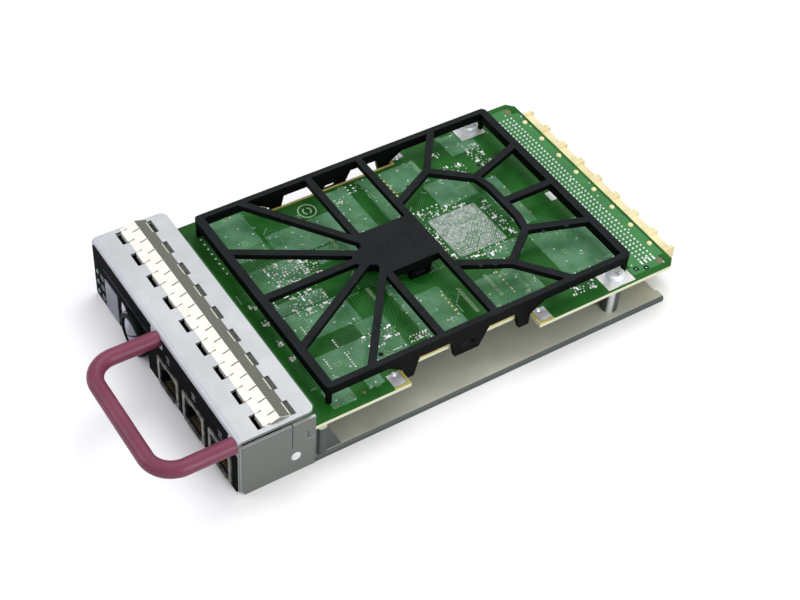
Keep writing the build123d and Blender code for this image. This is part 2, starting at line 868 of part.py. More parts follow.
# Push switches on the indicator board: each has a bore for its button's stem
for name, side in (("upper_switch", 1), ("lower_switch", -1)):
    with BuildPart() as push_switch:
        with BuildSketch(face_plane.offset(-indicator_board_y)):
            with Locations((0, side * stem_offset)):
                Rectangle(switch_size, switch_size)
        extrude(amount=switch_height)
        with BuildSketch(face_plane.offset(-(indicator_board_y - switch_height))):
            with Locations((0, side * stem_offset)):
                Circle(stem_diameter / 2 + button_clearance)
        extrude(amount=-(stem_entry + button_travel + stem_room), mode=Mode.SUBTRACT)
    save(push_switch, name)

# Sockets: a folded shield round a moulded insert with eight spring contacts
jack_bottom = board_under - jack_height
plug_bottom = jack_bottom + plug_floor
plug_top = plug_bottom + plug_height
insert_inset = shield_sheet + insert_clearance
insert_front = -jack_proud + insert_inset
insert_length = jack_depth - 2 * insert_inset
ramp_end = insert_front + contact_entry + contact_ramp
ramp_top = plug_bottom + contact_rise
plug_back = insert_front + plug_depth
for index, x in enumerate(jack_x, start=1):
    with BuildPart() as jack_shield:
        with BuildSketch(Plane.XZ.offset(-at(-jack_proud))):
            with Locations((x, jack_middle_z)):
                Rectangle(jack_width, jack_height)
        extrude(amount=-jack_depth)
        with BuildSketch(Plane.XZ.offset(-at(-jack_proud + shield_sheet))):
            with Locations((x, jack_middle_z)):
                Rectangle(jack_width - 2 * shield_sheet, jack_height - 2 * shield_sheet)
        extrude(amount=-(jack_depth - 2 * shield_sheet), mode=Mode.SUBTRACT)
        with BuildSketch(Plane.XZ.offset(-at(-jack_proud))) as shield_window:
            with Locations((x, jack_middle_z + (shield_sill - shield_head) / 2)):
                Rectangle(jack_width - 2 * shield_frame, jack_height - shield_sill - shield_head)
            fillet(shield_window.vertices().group_by(Axis.Y)[-1], radius=shield_window_corner)
        extrude(amount=-2 * shield_sheet, mode=Mode.SUBTRACT)
        # The lower edge of the window is turned out as a lip
        lip_front = -jack_proud - sill_lip_reach
        lip_top = jack_bottom + shield_sill
        with BuildSketch(Plane.YZ.offset(x - plug_width / 2)):
            with BuildLine():
                Polyline(
                    (at(-jack_proud), jack_bottom + sill_lip_drop),
                    (at(lip_front), lip_top - sill_lip_sheet),
                    (at(lip_front), lip_top),
                    (at(-jack_proud), lip_top),
                    close=True,
                )
            make_face()
        extrude(amount=plug_width)
    save(jack_shield, f"jack_shield_{index}")

    with BuildPart() as jack_insert:
        with BuildSketch(Plane.XZ.offset(-at(insert_front))):
            with Locations((x, jack_middle_z)):
                Rectangle(jack_width - 2 * insert_inset, jack_height - 2 * insert_inset)
        extrude(amount=-insert_length)
        with BuildSketch(Plane.XZ.offset(-at(insert_front))):
            with Locations((x, (plug_bottom + plug_top) / 2)):
                Rectangle(plug_width, plug_height)
            with Locations((x, plug_top + latch_height / 2)):
                Rectangle(latch_width, latch_height)
            with Locations((x, plug_top + latch_height + latch_nose_height / 2)):
                Rectangle(latch_nose_width, latch_nose_height)
        extrude(amount=-plug_depth, mode=Mode.SUBTRACT)
    save(jack_insert, f"jack_insert_{index}")

    with BuildPart() as jack_contacts:
        first_contact_x = x - ((contacts_per_jack - 1) * contact_pitch + contact_width) / 2
        for contact in range(contacts_per_jack):
            with BuildSketch(Plane.YZ.offset(first_contact_x + contact * contact_pitch)):
                with BuildLine():
                    Polyline(
                        (at(insert_front + contact_entry), plug_bottom),
                        (at(insert_front + contact_entry + contact_sheet), plug_bottom),
                        (at(ramp_end), ramp_top),
                        (at(plug_back), ramp_top),
                        (at(plug_back), ramp_top + contact_sheet),
                        (at(ramp_end - contact_sheet), ramp_top + contact_sheet),
                        (at(insert_front + contact_entry), plug_bottom + contact_sheet),
                        close=True,
                    )
                make_face()
            extrude(amount=contact_width)
    save(jack_contacts, f"jack_contacts_{index}")

# Main board: recessed on both sides for the guard's legs, with clipped rear corners
with BuildPart() as main_board:
    with BuildSketch(Plane.XY.offset(board_under)) as board_outline:
        with Locations((0, at((board_front_y + board_rear_y) / 2))):
            Rectangle(2 * half_board, board_rear_y - board_front_y)
        chamfer(board_outline.vertices().group_by(Axis.Y)[-1], length=board_corner)
        for side in (-1, 1):
            with Locations((side * half_board, at((recess_front_y + recess_rear_y) / 2))):
                RectangleRounded(
                    2 * recess_depth,
                    recess_rear_y - recess_front_y,
                    recess_corner,
                    mode=Mode.SUBTRACT,
                )
        with Locations(*fixings):
            Circle(screw_diameter / 2 + screw_clearance, mode=Mode.SUBTRACT)
        with Locations(*[(x, at(board_rear_y - peg_inset)) for x in module_x]):
            Circle(peg_diameter / 2 + peg_clearance, mode=Mode.SUBTRACT)
    extrude(amount=board_thickness)
save(main_board, "main_board")

# Guard web: a moulded frame of ribs over the board, with side walls and latching legs
rib_bottom = cover_top - rib_depth
rim_bottom = cover_top - rim_depth
hub_bottom = cover_top - hub_depth
wall_bottom = rim_bottom - wall_band
shoulder_z = board_top + leg_shoulder
leg_bottom = board_under - leg_depth
front_leg_y = recess_front_y + leg_clearance
rear_leg_y = recess_rear_y - leg_clearance
centre_leg_y = (recess_front_y + recess_rear_y) / 2 - centre_leg_shift
centre_leg_front_y = centre_leg_y - centre_leg_width / 2
centre_leg_rear_y = centre_leg_y + centre_leg_width / 2


def rib(start, end):
    """One rib of the web, drawn as a bar between two points of the plan."""
    run = Vector(end[0] - start[0], end[1] - start[1])
    turn = degrees(atan2(run.Y, run.X))
    middle = ((start[0] + end[0]) / 2, at((start[1] + end[1]) / 2))
    with Locations(middle):
        SlotCenterToCenter(run.length, rib_width, rotation=turn)


with BuildPart() as cover_frame:
    rim_length = cover_rear_y - cover_front_y
    with BuildSketch(Plane.XY.offset(rim_bottom)):
        with Locations((0, at(cover_front_y + rim_length / 2))):
            RectangleRounded(2 * half_cover, rim_length, cover_corner)
            Rectangle(
                2 * (half_cover - cover_wall),
                rim_length - 2 * front_rim_width,
                mode=Mode.SUBTRACT,
            )
    extrude(amount=rim_depth)
    # Side walls: raised between a rear leg, a wide centre leg and a front leg
    with BuildSketch(Plane.YZ.offset(wall_inner)):
        with BuildLine():
            Polyline(
                (at(rear_leg_y + wall_slope), rim_bottom),
                (at(rear_leg_y), shoulder_z),
                (at(rear_leg_y), leg_bottom),
                (at(rear_leg_y - side_leg_width), leg_bottom),
                (at(rear_leg_y - side_leg_width - leg_taper), wall_bottom),
                (at(centre_leg_rear_y + 2 * leg_taper), wall_bottom),
                (at(centre_leg_rear_y), leg_bottom),
                (at(centre_leg_front_y), leg_bottom),
                (at(centre_leg_front_y - leg_taper), wall_bottom),
                (at(front_leg_y + side_leg_width + leg_taper), wall_bottom),
                (at(front_leg_y + side_leg_width), leg_bottom),
                (at(front_leg_y + leg_taper), leg_bottom),
                (at(front_leg_y), shoulder_z),
                (at(front_leg_y - wall_slope), rim_bottom),
                close=True,
            )
        make_face()
        with Locations((at(centre_leg_y), (wall_bottom + leg_bottom) / 2)):
            SlotOverall(leg_slot_length, leg_slot_height, mode=Mode.SUBTRACT)
    extrude(amount=side_wall)
    # Barbs under the board's edge, on the front and rear legs
    barb_top = board_under - barb_clearance
    barb_front_y = front_leg_y + side_leg_width - barb_width
    barb_rear_y = rear_leg_y - side_leg_width
    for barb_y in (barb_front_y, barb_rear_y):
        with BuildSketch(Plane.XZ.offset(-at(barb_y))):
            with BuildLine():
                Polyline(
                    (wall_inner, leg_bottom),
                    (wall_inner - barb_reach, barb_top - barb_edge),
                    (wall_inner - barb_reach, barb_top),
                    (wall_inner, barb_top),
                    close=True,
                )
            make_face()
        extrude(amount=-barb_width)
    # Feet at the corners stand on the board
    foot_x = half_cover - foot_side_inset
    rear_foot_y = cover_rear_y - foot_end_inset
    front_foot_y = cover_front_y + foot_end_inset
    with BuildSketch(Plane.XY.offset(board_top)):
        with Locations((foot_x, at(rear_foot_y)), (foot_x, at(front_foot_y))):
            Circle(foot_diameter / 2)
    extrude(amount=rim_bottom - board_top)
    mirror(about=Plane.YZ)
    # The web: cross ribs, a ring behind the hub and a fan of ribs in front of it
    with BuildSketch(Plane.XY.offset(rib_bottom)):
        inner_x = half_cover - rib_end_inset
        inner_front = cover_front_y + front_rim_width / 2
        inner_rear = cover_rear_y - front_rim_width / 2
        for y in (front_cross_rib_y, rear_cross_rib_y):
            rib((-inner_x, y), (inner_x, y))
        rib((web_offset, inner_front), (web_offset, hub_front_y))
        rib((web_offset, ring_rear_y), (web_offset, inner_rear))
        for side in (-1, 1):
            bridge = (web_offset + side * ring_bridge_x, ring_rear_y)
            shoulder = (web_offset + side * ring_shoulder_x, ring_shoulder_y)
            elbow = (web_offset + side * ring_elbow_x, ring_elbow_y)
            foot = (web_offset + side * ring_foot_x, hub_rear_y)
            rib((web_offset, ring_rear_y), bridge)
            rib(bridge, shoulder)
            rib(shoulder, elbow)
            rib(elbow, foot)
            rib(shoulder, (web_offset + side * rear_spoke_x, inner_rear))
            rib(elbow, (side * inner_x, side_spoke_y))
            rib((web_offset, fan_root_y), (web_offset + side * front_spoke_x, inner_front))
            rib((web_offset, fan_far_root_y), (side * inner_x, far_spoke_y))
    extrude(amount=rib_depth)
    with BuildSketch(Plane.XY.offset(hub_bottom)):
        with Locations((web_offset, at((hub_front_y + hub_rear_y) / 2))):
            RectangleRounded(hub_width, hub_rear_y - hub_front_y, hub_corner)
        with Locations((web_offset, at(hub_front_y - hub_nose_length / 2))):
            Trapezoid(hub_nose_width, hub_nose_length + overcut, hub_nose_angle, rotation=180)
    extrude(amount=hub_depth)
    # Tab beside the hub that steadies the board's middle
    with BuildSketch(Plane.YZ.offset(web_offset + hub_width / 2 - tab_sheet)):
        with Locations((at(tab_y), (board_top + hub_bottom) / 2)):
            Rectangle(tab_width, hub_bottom - board_top)
            SlotOverall(tab_slot_length, tab_slot_height, mode=Mode.SUBTRACT)
    extrude(amount=tab_sheet)
save(cover_frame, "cover_frame")

# Rear fixings: standoffs pressed into the tray, with a washer and a pan-head screw each
with BuildPart() as standoffs:
    with BuildSketch(Plane.XY.offset(bezel_sheet)):
        with Locations(*fixings):
            Circle(standoff_foot_diameter / 2)
    extrude(amount=tray_sheet)
    with BuildSketch(Plane.XY.offset(tray_floor)):
        with Locations(*fixings):
            Circle(standoff_diameter / 2)
    extrude(amount=board_under - tray_floor)
    with BuildSketch(Plane.XY.offset(board_under)):
        with Locations(*fixings):
            Circle(screw_diameter / 2 + thread_clearance)
    extrude(amount=-bore_depth, mode=Mode.SUBTRACT)
save(standoffs, "standoffs")

with BuildPart() as board_washers:
    with BuildSketch(Plane.XY.offset(board_top)):
        with Locations(*fixings):
            Circle(washer_diameter / 2)
            Circle(screw_diameter / 2 + screw_clearance, mode=Mode.SUBTRACT)
    extrude(amount=washer_thickness)
save(board_washers, "board_washers")

head_base = board_top + washer_thickness
with BuildPart() as board_screws:
    with BuildSketch(Plane.XY.offset(head_base)):
        with Locations(*fixings):
            Circle(screw_head_diameter / 2)
    extrude(amount=screw_head_height)
    fillet(board_screws.edges().group_by(Axis.Z)[-1], radius=screw_head_round)
    with BuildSketch(Plane.XY.offset(head_base)):
        with Locations(*fixings):
            Circle(screw_diameter / 2)
    extrude(amount=-(screw_length + washer_thickness))
    with BuildSketch(Plane.XY.offset(head_base + screw_head_height)):
        with Locations(*fixings):
            Rectangle(driver_slot_length, driver_slot_width)
            Rectangle(driver_slot_width, driver_slot_length)
    extrude(amount=-driver_slot_depth, mode=Mode.SUBTRACT)
save(board_screws, "board_screws")

# Backplane receptacle: eight modules side by side under the rear edge of the board
module_front_y = board_rear_y - module_engagement
body_width = module_pitch - module_gap
rib_start_y = board_rear_y + module_rib_gap
module_rib_z = board_under + module_rib_rise - module_rib_height / 2
for index, x in enumerate(module_x, start=1):
    with BuildPart() as module:
        with BuildSketch(Plane.YZ.offset(x - body_width / 2)):
            with BuildLine():
                Polyline(
                    (at(module_front_y), board_under),
                    (at(module_front_y), board_under - module_height + module_chamfer),
                    (at(module_front_y + module_chamfer), board_under - module_height),
                    (at(module_rear_y), board_under - module_height),
                    (at(module_rear_y), board_under),
                    close=True,
                )
            make_face()
        extrude(amount=body_width)
        # End ribs of the mating half, higher and longer than the walls between them
        with BuildSketch(Plane.YZ.offset(x - body_width / 2)) as rib_section:
            with Locations((at((rib_start_y + rear_reach) / 2), module_rib_z)):
                Rectangle(rear_reach - rib_start_y, module_rib_height)
            fillet(rib_section.vertices(), radius=module_rib_corner)
        extrude(amount=module_rib)
        with BuildSketch(Plane.YZ.offset(x + body_width / 2)):
            add(rib_section.sketch_local)
        extrude(amount=-module_rib)
        # Locating peg through the board
        with BuildSketch(Plane.XY.offset(board_under)):
            with Locations((x, at(board_rear_y - peg_inset))):
                Circle(peg_diameter / 2)
        extrude(amount=board_thickness + peg_proud)
        fillet(module.edges().group_by(Axis.Z)[-1], radius=peg_round)
    save(module, f"receptacle_module_{index}")

# Solder tails of the receptacle's contacts, pressed through the board
pin_middle_y = board_rear_y - pin_first_inset + (pin_rows - 1) / 2 * pin_pitch
with BuildPart() as connector_pins:
    with BuildSketch(Plane.XY.offset(board_under)):
        with Locations(*[(x, at(pin_middle_y)) for x in module_x]):
            with GridLocations(pin_pitch, pin_pitch, pin_columns, pin_rows):
                Rectangle(pin_size, pin_size)
    extrude(amount=board_thickness + pin_proud)
save(connector_pins, "connector_pins")


def chip(name, x, y, width, length, height):
    """A moulded chip package that hangs under the board."""
    with BuildPart() as package:
        with BuildSketch(Plane.XY.offset(board_under)):
            with Locations((x, at(y))):
                Rectangle(width, length)
        extrude(amount=-height)
        chamfer(package.edges().group_by(Axis.Z)[0], length=chip_edge)
    save(package, name)


# Parts on the underside of the main board
rear_memory_y = memory_y + memory_pitch / 2
front_memory_y = memory_y - memory_pitch / 2
chip("processor", processor_x, processor_y, processor_size, processor_size, processor_height)
chip("memory_chip_1", memory_x, rear_memory_y, memory_width, memory_length, memory_height)
chip("memory_chip_2", memory_x, front_memory_y, memory_width, memory_length, memory_height)
chip("flash_chip", flash_x, flash_y, flash_width, flash_length, memory_height)
chip("logic_chip_1", rear_logic_x, rear_logic_y, rear_logic_size, rear_logic_size, logic_height)
chip("logic_chip_2", front_logic_x, front_logic_y, front_logic_size, front_logic_size, logic_height)

with BuildPart() as crystal:
    with BuildSketch(Plane.XY.offset(board_under)):
        with Locations((crystal_x, at(crystal_y))):
            SlotOverall(crystal_length, crystal_width)
    extrude(amount=-crystal_height)
save(crystal, "crystal")

for index in range(capacitor_count):
    capacitor_y = capacitor_first_y + index * capacitor_pitch
    with BuildPart() as capacitor:
        with BuildSketch(Plane.XY.offset(board_under)):
            with Locations((capacitor_x, at(capacitor_y))):
                RectangleRounded(capacitor_base, capacitor_base, capacitor_base_corner)
        extrude(amount=-capacitor_base_height)
        with BuildSketch(Plane.XY.offset(board_under - capacitor_base_height)):
            with Locations((capacitor_x, at(capacitor_y))):
                Circle(capacitor_diameter / 2)
        extrude(amount=-(capacitor_height - capacitor_base_height))
        fillet(capacitor.edges().group_by(Axis.Z)[0], radius=capacitor_round)
    save(capacitor, f"capacitor_{index + 1}")

for index in range(inductor_count):
    with BuildPart() as inductor:
        with BuildSketch(Plane.XY.offset(board_under)) as coil_base:
            with Locations((inductor_x, at(inductor_first_y + index * inductor_pitch))):
                Rectangle(inductor_size, inductor_size)
            chamfer(coil_base.vertices(), length=inductor_corner)
        extrude(amount=-inductor_height)
    save(inductor, f"inductor_{index + 1}")

with BuildPart() as alarm_buzzer:
    with BuildSketch(Plane.XY.offset(board_under)):
        with Locations((buzzer_x, at(buzzer_y))):
            Circle(buzzer_diameter / 2)
    extrude(amount=-buzzer_height)
    with BuildSketch(Plane.XY.offset(board_under - buzzer_height)):
        with Locations((buzzer_x, at(buzzer_y))):
            Circle(buzzer_hole_diameter / 2)
    extrude(amount=buzzer_hole_depth, mode=Mode.SUBTRACT)
save(alarm_buzzer, "alarm_buzzer")
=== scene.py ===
"""Looks of a plug-in enclosure monitoring module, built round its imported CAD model.

Sizes are in millimetres wherever a name doesn't say otherwise; MM turns them into metres.
On the module, depth is the distance behind the bezel's front face, along +Y.
"""

import logging
import math
import random
from collections.abc import Iterable, Mapping, Sequence
from dataclasses import dataclass
from enum import Enum

import bmesh
import bpy
from mathutils import Matrix, Vector

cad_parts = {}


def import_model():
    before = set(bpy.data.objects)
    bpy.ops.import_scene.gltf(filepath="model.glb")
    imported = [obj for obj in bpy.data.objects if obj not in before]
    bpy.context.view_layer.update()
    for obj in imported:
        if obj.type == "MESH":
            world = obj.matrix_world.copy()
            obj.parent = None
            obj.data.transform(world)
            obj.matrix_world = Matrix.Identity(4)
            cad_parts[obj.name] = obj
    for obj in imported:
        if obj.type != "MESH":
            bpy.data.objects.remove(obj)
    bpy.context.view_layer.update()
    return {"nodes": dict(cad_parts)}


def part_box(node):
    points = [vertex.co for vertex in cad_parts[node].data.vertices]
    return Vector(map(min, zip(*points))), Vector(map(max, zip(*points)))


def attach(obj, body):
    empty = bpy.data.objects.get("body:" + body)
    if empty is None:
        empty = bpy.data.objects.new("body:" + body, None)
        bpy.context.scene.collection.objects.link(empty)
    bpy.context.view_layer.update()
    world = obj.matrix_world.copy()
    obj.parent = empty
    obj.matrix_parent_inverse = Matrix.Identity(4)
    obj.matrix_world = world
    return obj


MM = 0.001
CHASSIS = "chassis"
COAT_ROUGHNESS = 0.15
WHITE = "#ffffff"
# Share of a solder dome's radius and of its height at each of its levels
DOME_LEVELS = ((1.0, 0.0), (0.72, 0.7), (0.3, 1.0))
log = logging.getLogger("module_looks")

Tree = bpy.types.NodeTree
Out = bpy.types.NodeSocket
Nodes = Mapping[str, bpy.types.Object]
Inputs = Mapping[int | str, object]
Spot = tuple[float, float]


class Socket(Enum):
    """Kinds of input that a Geometry Nodes tree of this script exposes."""

    GEOMETRY = "NodeSocketGeometry"
    NUMBER = "NodeSocketFloat"
    COUNT = "NodeSocketInt"
    PIECE = "NodeSocketObject"


class Grain(Enum):
    """How a surface's fine relief runs."""

    EVEN = (1.0, 1.0, 1.0)
    ACROSS = (0.06, 1.0, 1.0)
    ALONG = (1.0, 0.06, 1.0)


class Slot(Enum):
    """The record's slots that the added pieces belong to."""

    BOARD = "board_green"
    TIN = "pin_tin"
    FILM = "black_film"
    GUARD = "guard_black"
    BRONZE = "spring_bronze"


def linear(code: str) -> tuple[float, float, float, float]:
    """Turn an sRGB hex colour into the linear colour that a shader takes.

    Args:
        code: six hex digits after a hash, such as "#7d3f52".

    Returns:
        Linear red, green and blue, and an alpha of 1.
    """
    parts = [int(code[i : i + 2], 16) / 255 for i in (1, 3, 5)]
    light = [p / 12.92 if p <= 0.04045 else ((p + 0.055) / 1.055) ** 2.4 for p in parts]
    return (*light, 1.0)


def feed(tree: Tree, node: bpy.types.Node, inputs: Inputs) -> None:
    """Set or link a node's inputs.

    Args:
        tree: the node's tree.
        node: the node.
        inputs: a value, or another node's output socket, for each input by name or number.
    """
    for key, value in inputs.items():
        if isinstance(value, Out):
            tree.links.new(value, node.inputs[key])
        else:
            node.inputs[key].default_value = value


def add_node(
    tree: Tree, kind: str, inputs: Inputs | None = None, **settings: object
) -> bpy.types.Node:
    """Add a node with its settings and inputs.

    Args:
        tree: the node tree that gets the node.
        kind: the node's type, such as "ShaderNodeBump".
        inputs: what goes into it, as feed takes it.
        **settings: properties of the node itself.

    Returns:
        The new node.
    """
    node = tree.nodes.new(kind)
    for key, value in settings.items():
        setattr(node, key, value)
    feed(tree, node, inputs or {})
    return node


def maths(tree: Tree, operation: str, first: object, second: object = 0.0) -> Out:
    """Value socket of a Math node."""
    inputs = {0: first, 1: second}
    return add_node(tree, "ShaderNodeMath", inputs, operation=operation).outputs["Value"]


def ramp(
    tree: Tree, value: Out, start: float = 0, end: float = 1, low: float = 0, high: float = 1
) -> Out:
    """Value socket that goes from low to high while the value goes from start to end."""
    inputs = {"Value": value, "From Min": start, "From Max": end, "To Min": low, "To Max": high}
    return add_node(tree, "ShaderNodeMapRange", inputs).outputs["Result"]


def cloud(tree: Tree, place: Out, scale: float, detail: float = 2.0) -> Out:
    """Value socket of soft noise, with as many patches to the millimetre as scale says."""
    inputs = {"Vector": place, "Scale": scale / MM, "Detail": detail}
    return add_node(tree, "ShaderNodeTexNoise", inputs).outputs["Fac"]


def mixed(tree: Tree, share: Out, first: object, second: object) -> Out:
    """Colour socket that goes from the first colour to the second with share.

    Args:
        tree: the node tree.
        share: the socket that says how much of the second colour shows.
        first: a colour or a colour socket.
        second: a colour or a colour socket.

    Returns:
        The mixed colour's socket.
    """
    factor, colour_a, colour_b, colour_out = 0, 6, 7, 2
    inputs = {factor: share, colour_a: first, colour_b: second}
    return add_node(tree, "ShaderNodeMix", inputs, data_type="RGBA").outputs[colour_out]


@dataclass(frozen=True)
class Lean:
    """A colour of their own, painted light or shade, for the faces that lean one way, or both ways
    along a line.
    """

    direction: tuple[float, float, float]
    least: float
    most: float
    colour: str
    both: bool = False

    def over(self, tree: Tree, colour: Out) -> Out:
        """Lay the painted light or shade over a colour.

        Args:
            tree: the material's node tree.
            colour: the colour socket of all the other faces.

        Returns:
            The colour socket with the leaning faces in their painted light or shade.
        """
        facing = add_node(tree, "ShaderNodeNewGeometry").outputs["Normal"]
        product = add_node(
            tree, "ShaderNodeVectorMath", {0: facing, 1: self.direction}, operation="DOT_PRODUCT"
        )
        along = product.outputs["Value"]
        if self.both:
            along = maths(tree, "ABSOLUTE", along)
        return mixed(tree, ramp(tree, along, self.least, self.most), colour, linear(self.colour))


@dataclass(frozen=True)
class Finish:
    """A surface finish: two close colours in soft patches, a gloss and a fine relief."""

    title: str
    colour: str
    patches: str
    patch_size: float = 9.0
    metallic: float = 0.0
    roughness: float = 0.5
    gloss_spread: float = 0.06
    grain_size: float = 0.5
    relief: float = 0.01
    grain: Grain = Grain.EVEN
    coat: float = 0.0
    specular: float = 0.5
    edge_round: float = 0.0
    leans: tuple[Lean, ...] = ()
    slot: Slot = Slot.TIN

    def build(self) -> bpy.types.Material:
        """Make the material.

        Returns:
            The material, or the one made before under the same title.
        """
        known = bpy.data.materials.get(self.title)
        if known is not None:
            return known
        material = bpy.data.materials.new(self.title)
        material.use_nodes = True
        tree = material.node_tree
        place = add_node(tree, "ShaderNodeTexCoord").outputs["Object"]
        colour = self.tint(tree, place)
        # painted light and shade: faces that lean a given way get a colour of their own
        for lean in self.leans:
            colour = lean.over(tree, colour)
        relief = {"Distance": self.relief * MM, "Height": self.height(tree, place)}
        if self.edge_round:
            radius = {"Radius": self.edge_round * MM}
            softened = add_node(tree, "ShaderNodeBevel", radius, samples=6)
            relief["Normal"] = softened.outputs["Normal"]
        inputs = {
            "Base Color": colour,
            "Metallic": self.metallic,
            "Roughness": self.gloss(tree, place),
            "Specular IOR Level": self.specular,
            "Coat Weight": self.coat,
            "Coat Roughness": COAT_ROUGHNESS,
            "Normal": add_node(tree, "ShaderNodeBump", relief).outputs["Normal"],
        }
        feed(tree, tree.nodes["Principled BSDF"], inputs)
        return material

    def tint(self, tree: Tree, place: Out) -> Out:
        """Colour socket: the two colours in soft patches of the finish's patch size."""
        share = ramp(tree, cloud(tree, place, 1 / self.patch_size, detail=3.0), 0.35, 0.65)
        return mixed(tree, share, linear(self.colour), linear(self.patches))

    def gloss(self, tree: Tree, place: Out) -> Out:
        """Roughness socket: the finish's roughness, a little uneven."""
        smear = cloud(tree, place, 3 / self.patch_size)
        low, high = self.roughness - self.gloss_spread, self.roughness + self.gloss_spread
        return ramp(tree, smear, low=low, high=high)

    def height(self, tree: Tree, place: Out) -> Out:
        """Height socket of the fine relief, drawn out along the finish's grain."""
        drawn = add_node(tree, "ShaderNodeMapping", {"Vector": place, "Scale": self.grain.value})
        return cloud(tree, drawn.outputs["Vector"], 1 / self.grain_size)


@dataclass(frozen=True)
class SpangledSheet(Finish):
    """Zinc-coated sheet: crystals of zinc catch the light a little differently."""

    spangle: str = "#b9bdbd"
    spangle_size: float = 5.0
    spangle_share: float = 0.5

    def tint(self, tree: Tree, place: Out) -> Out:
        """Colour socket: patches, with each zinc crystal in a shade of its own."""
        inputs = {"Vector": place, "Scale": 1 / (self.spangle_size * MM)}
        crystals = add_node(tree, "ShaderNodeTexVoronoi", inputs).outputs["Color"]
        shade = add_node(tree, "ShaderNodeSeparateColor", {"Color": crystals}).outputs["Red"]
        share = maths(tree, "MULTIPLY", shade, self.spangle_share)
        return mixed(tree, share, super().tint(tree, place), linear(self.spangle))


@dataclass(frozen=True)
class MaskedLaminate(Finish):
    """Glass-epoxy board under green mask: pale at its cut edges, with the weave showing faintly."""

    edge: str = "#e0e2c4"
    weave: float = 1.3

    def tint(self, tree: Tree, place: Out) -> Out:
        """Colour socket: green mask on the flat faces and bare laminate on upright ones."""
        facing = add_node(tree, "ShaderNodeNewGeometry").outputs["Normal"]
        upright = add_node(tree, "ShaderNodeSeparateXYZ", {"Vector": facing}).outputs["Z"]
        flat = maths(tree, "GREATER_THAN", maths(tree, "ABSOLUTE", upright), 0.5)
        return mixed(tree, flat, linear(self.edge), super().tint(tree, place))

    def height(self, tree: Tree, place: Out) -> Out:
        """Height socket of the glass cloth's weave, drawn at about twice its real pitch."""
        inputs = {
            "Vector": place,
            "Scale": 1 / (self.weave * MM),
            "Color1": linear(WHITE),
            "Color2": (0.5, 0.5, 0.5, 1.0),
            "Mortar": (0.0, 0.0, 0.0, 1.0),
            "Mortar Size": 0.1,
        }
        return add_node(tree, "ShaderNodeTexBrick", inputs).outputs["Color"]


@dataclass(frozen=True)
class MaskedCopper(Finish):
    """Copper plane under green mask: milky, with the fine dark gaps between its tracks."""

    gaps: str = "#35683e"
    gap_pitch: float = 1.3
    gap_turn: float = 45.0
    routed_size: float = 9.0

    def tint(self, tree: Tree, place: Out) -> Out:
        """Colour socket: milky green, crossed in places by thin dark lines."""
        turn = (0.0, 0.0, math.radians(self.gap_turn))
        turned = add_node(tree, "ShaderNodeMapping", {"Vector": place, "Rotation": turn})
        band_scale = 0.314  # a wave texture's bands to the unit of length
        inputs = {
            "Vector": turned.outputs["Vector"],
            "Scale": band_scale / (self.gap_pitch * MM),
            "Distortion": 0.0,
        }
        lines = add_node(tree, "ShaderNodeTexWave", inputs, bands_direction="X")
        thin = ramp(tree, lines.outputs["Fac"], 0.8, 0.95)
        routed = ramp(tree, cloud(tree, place, 1 / self.routed_size), 0.5, 0.6)
        shown = maths(tree, "MULTIPLY", thin, routed)
        return mixed(tree, shown, super().tint(tree, place), linear(self.gaps))


@dataclass(frozen=True)
class InkAndPaintedLight(Finish):
    """Thin, even layer with little gloss: printed ink, and the painted reflection streak."""

    patch_size: float = 2.0
    specular: float = 0.2


# Bezel: zinc-plated steel sheet, mottled and bright on top; its upright side plates are darkened
# with painted shade
ZINC = SpangledSheet(
    "zinc_plated_steel", "#c2c5c7", "#b8bbbd", patch_size=14.0, metallic=0.25, roughness=0.45,
    grain_size=0.35, relief=0.004, grain=Grain.ACROSS, edge_round=0.2, spangle="#afb3b4",
    spangle_share=0.3, leans=(Lean((1, 0, 0), 0.7, 0.9, "#686d68", both=True),),
)
# Tray: galvanised sheet, warm grey and almost matt; its upright faces, the bent lips and edges, are
# darkened with painted shade
GALVANISED = SpangledSheet(
    "galvanised_steel", "#bebfaf", "#b1b2a2", patch_size=22.0, metallic=0.15, roughness=0.55,
    grain_size=0.5, relief=0.004, grain=Grain.ALONG, spangle="#cbcabf", spangle_share=0.3,
    leans=(
        Lean((1, 0, 0), 0.15, 0.5, "#434a47", both=True),
        Lean((0, 1, 0), 0.15, 0.5, "#434a47", both=True),
    ),
)
# Spring fingers: bright tin on bronze, with small dents; the trailing slope, which faces away from
# the light, is darkened with painted shade
BRIGHT_TIN = Finish(
    "bright_tin_plating", "#faf7ec", "#efece1", patch_size=5.0, metallic=0.25, roughness=0.36,
    grain_size=1.8, relief=0.05, leans=(Lean((0, 1, 0), 0.12, 0.22, "#696b62"),),
)
# Screws, washers and rivets: bright plated steel, polished
PLATED = Finish(
    "bright_plated_steel", "#eef2f4", "#d8dde1", patch_size=3.0, metallic=0.3, roughness=0.34,
    grain_size=0.6, relief=0.004, edge_round=0.2,
)
# Standoffs: turned steel, painted dark for the dark reflections of its polished sides, with a
# painted highlight streak along the side that faces the light
TURNED = Finish(
    "turned_steel", "#4a504c", "#404642", patch_size=3.0, metallic=0.5, roughness=0.3,
    grain_size=0.6, relief=0.004, leans=(Lean((0.8, -0.6, 0.0), 0.9, 0.99, "#ccd1d0"),),
)
# Handle: vinyl dip, satin with the slight orange peel of a dipped skin
DIP_COAT = Finish(
    "maroon_vinyl_dip", "#77374d", "#6f3246", patch_size=12.0, roughness=0.4, grain_size=1.4,
    relief=0.015, specular=0.3,
)
# Front overlay: black polyester film with a fine printed grain
FILM = Finish(
    "black_polyester_film", "#0b0d0f", "#101315", patch_size=20.0, roughness=0.6,
    grain_size=0.45, relief=0.006, specular=0.01,
)
# Display window: grey filter acrylic, polished
LENS = Finish(
    "grey_filter_acrylic", "#757b88", "#6d7380", patch_size=15.0, roughness=0.25,
    gloss_spread=0.02, grain_size=4.0, relief=0.002, specular=0.3, edge_round=0.15,
)
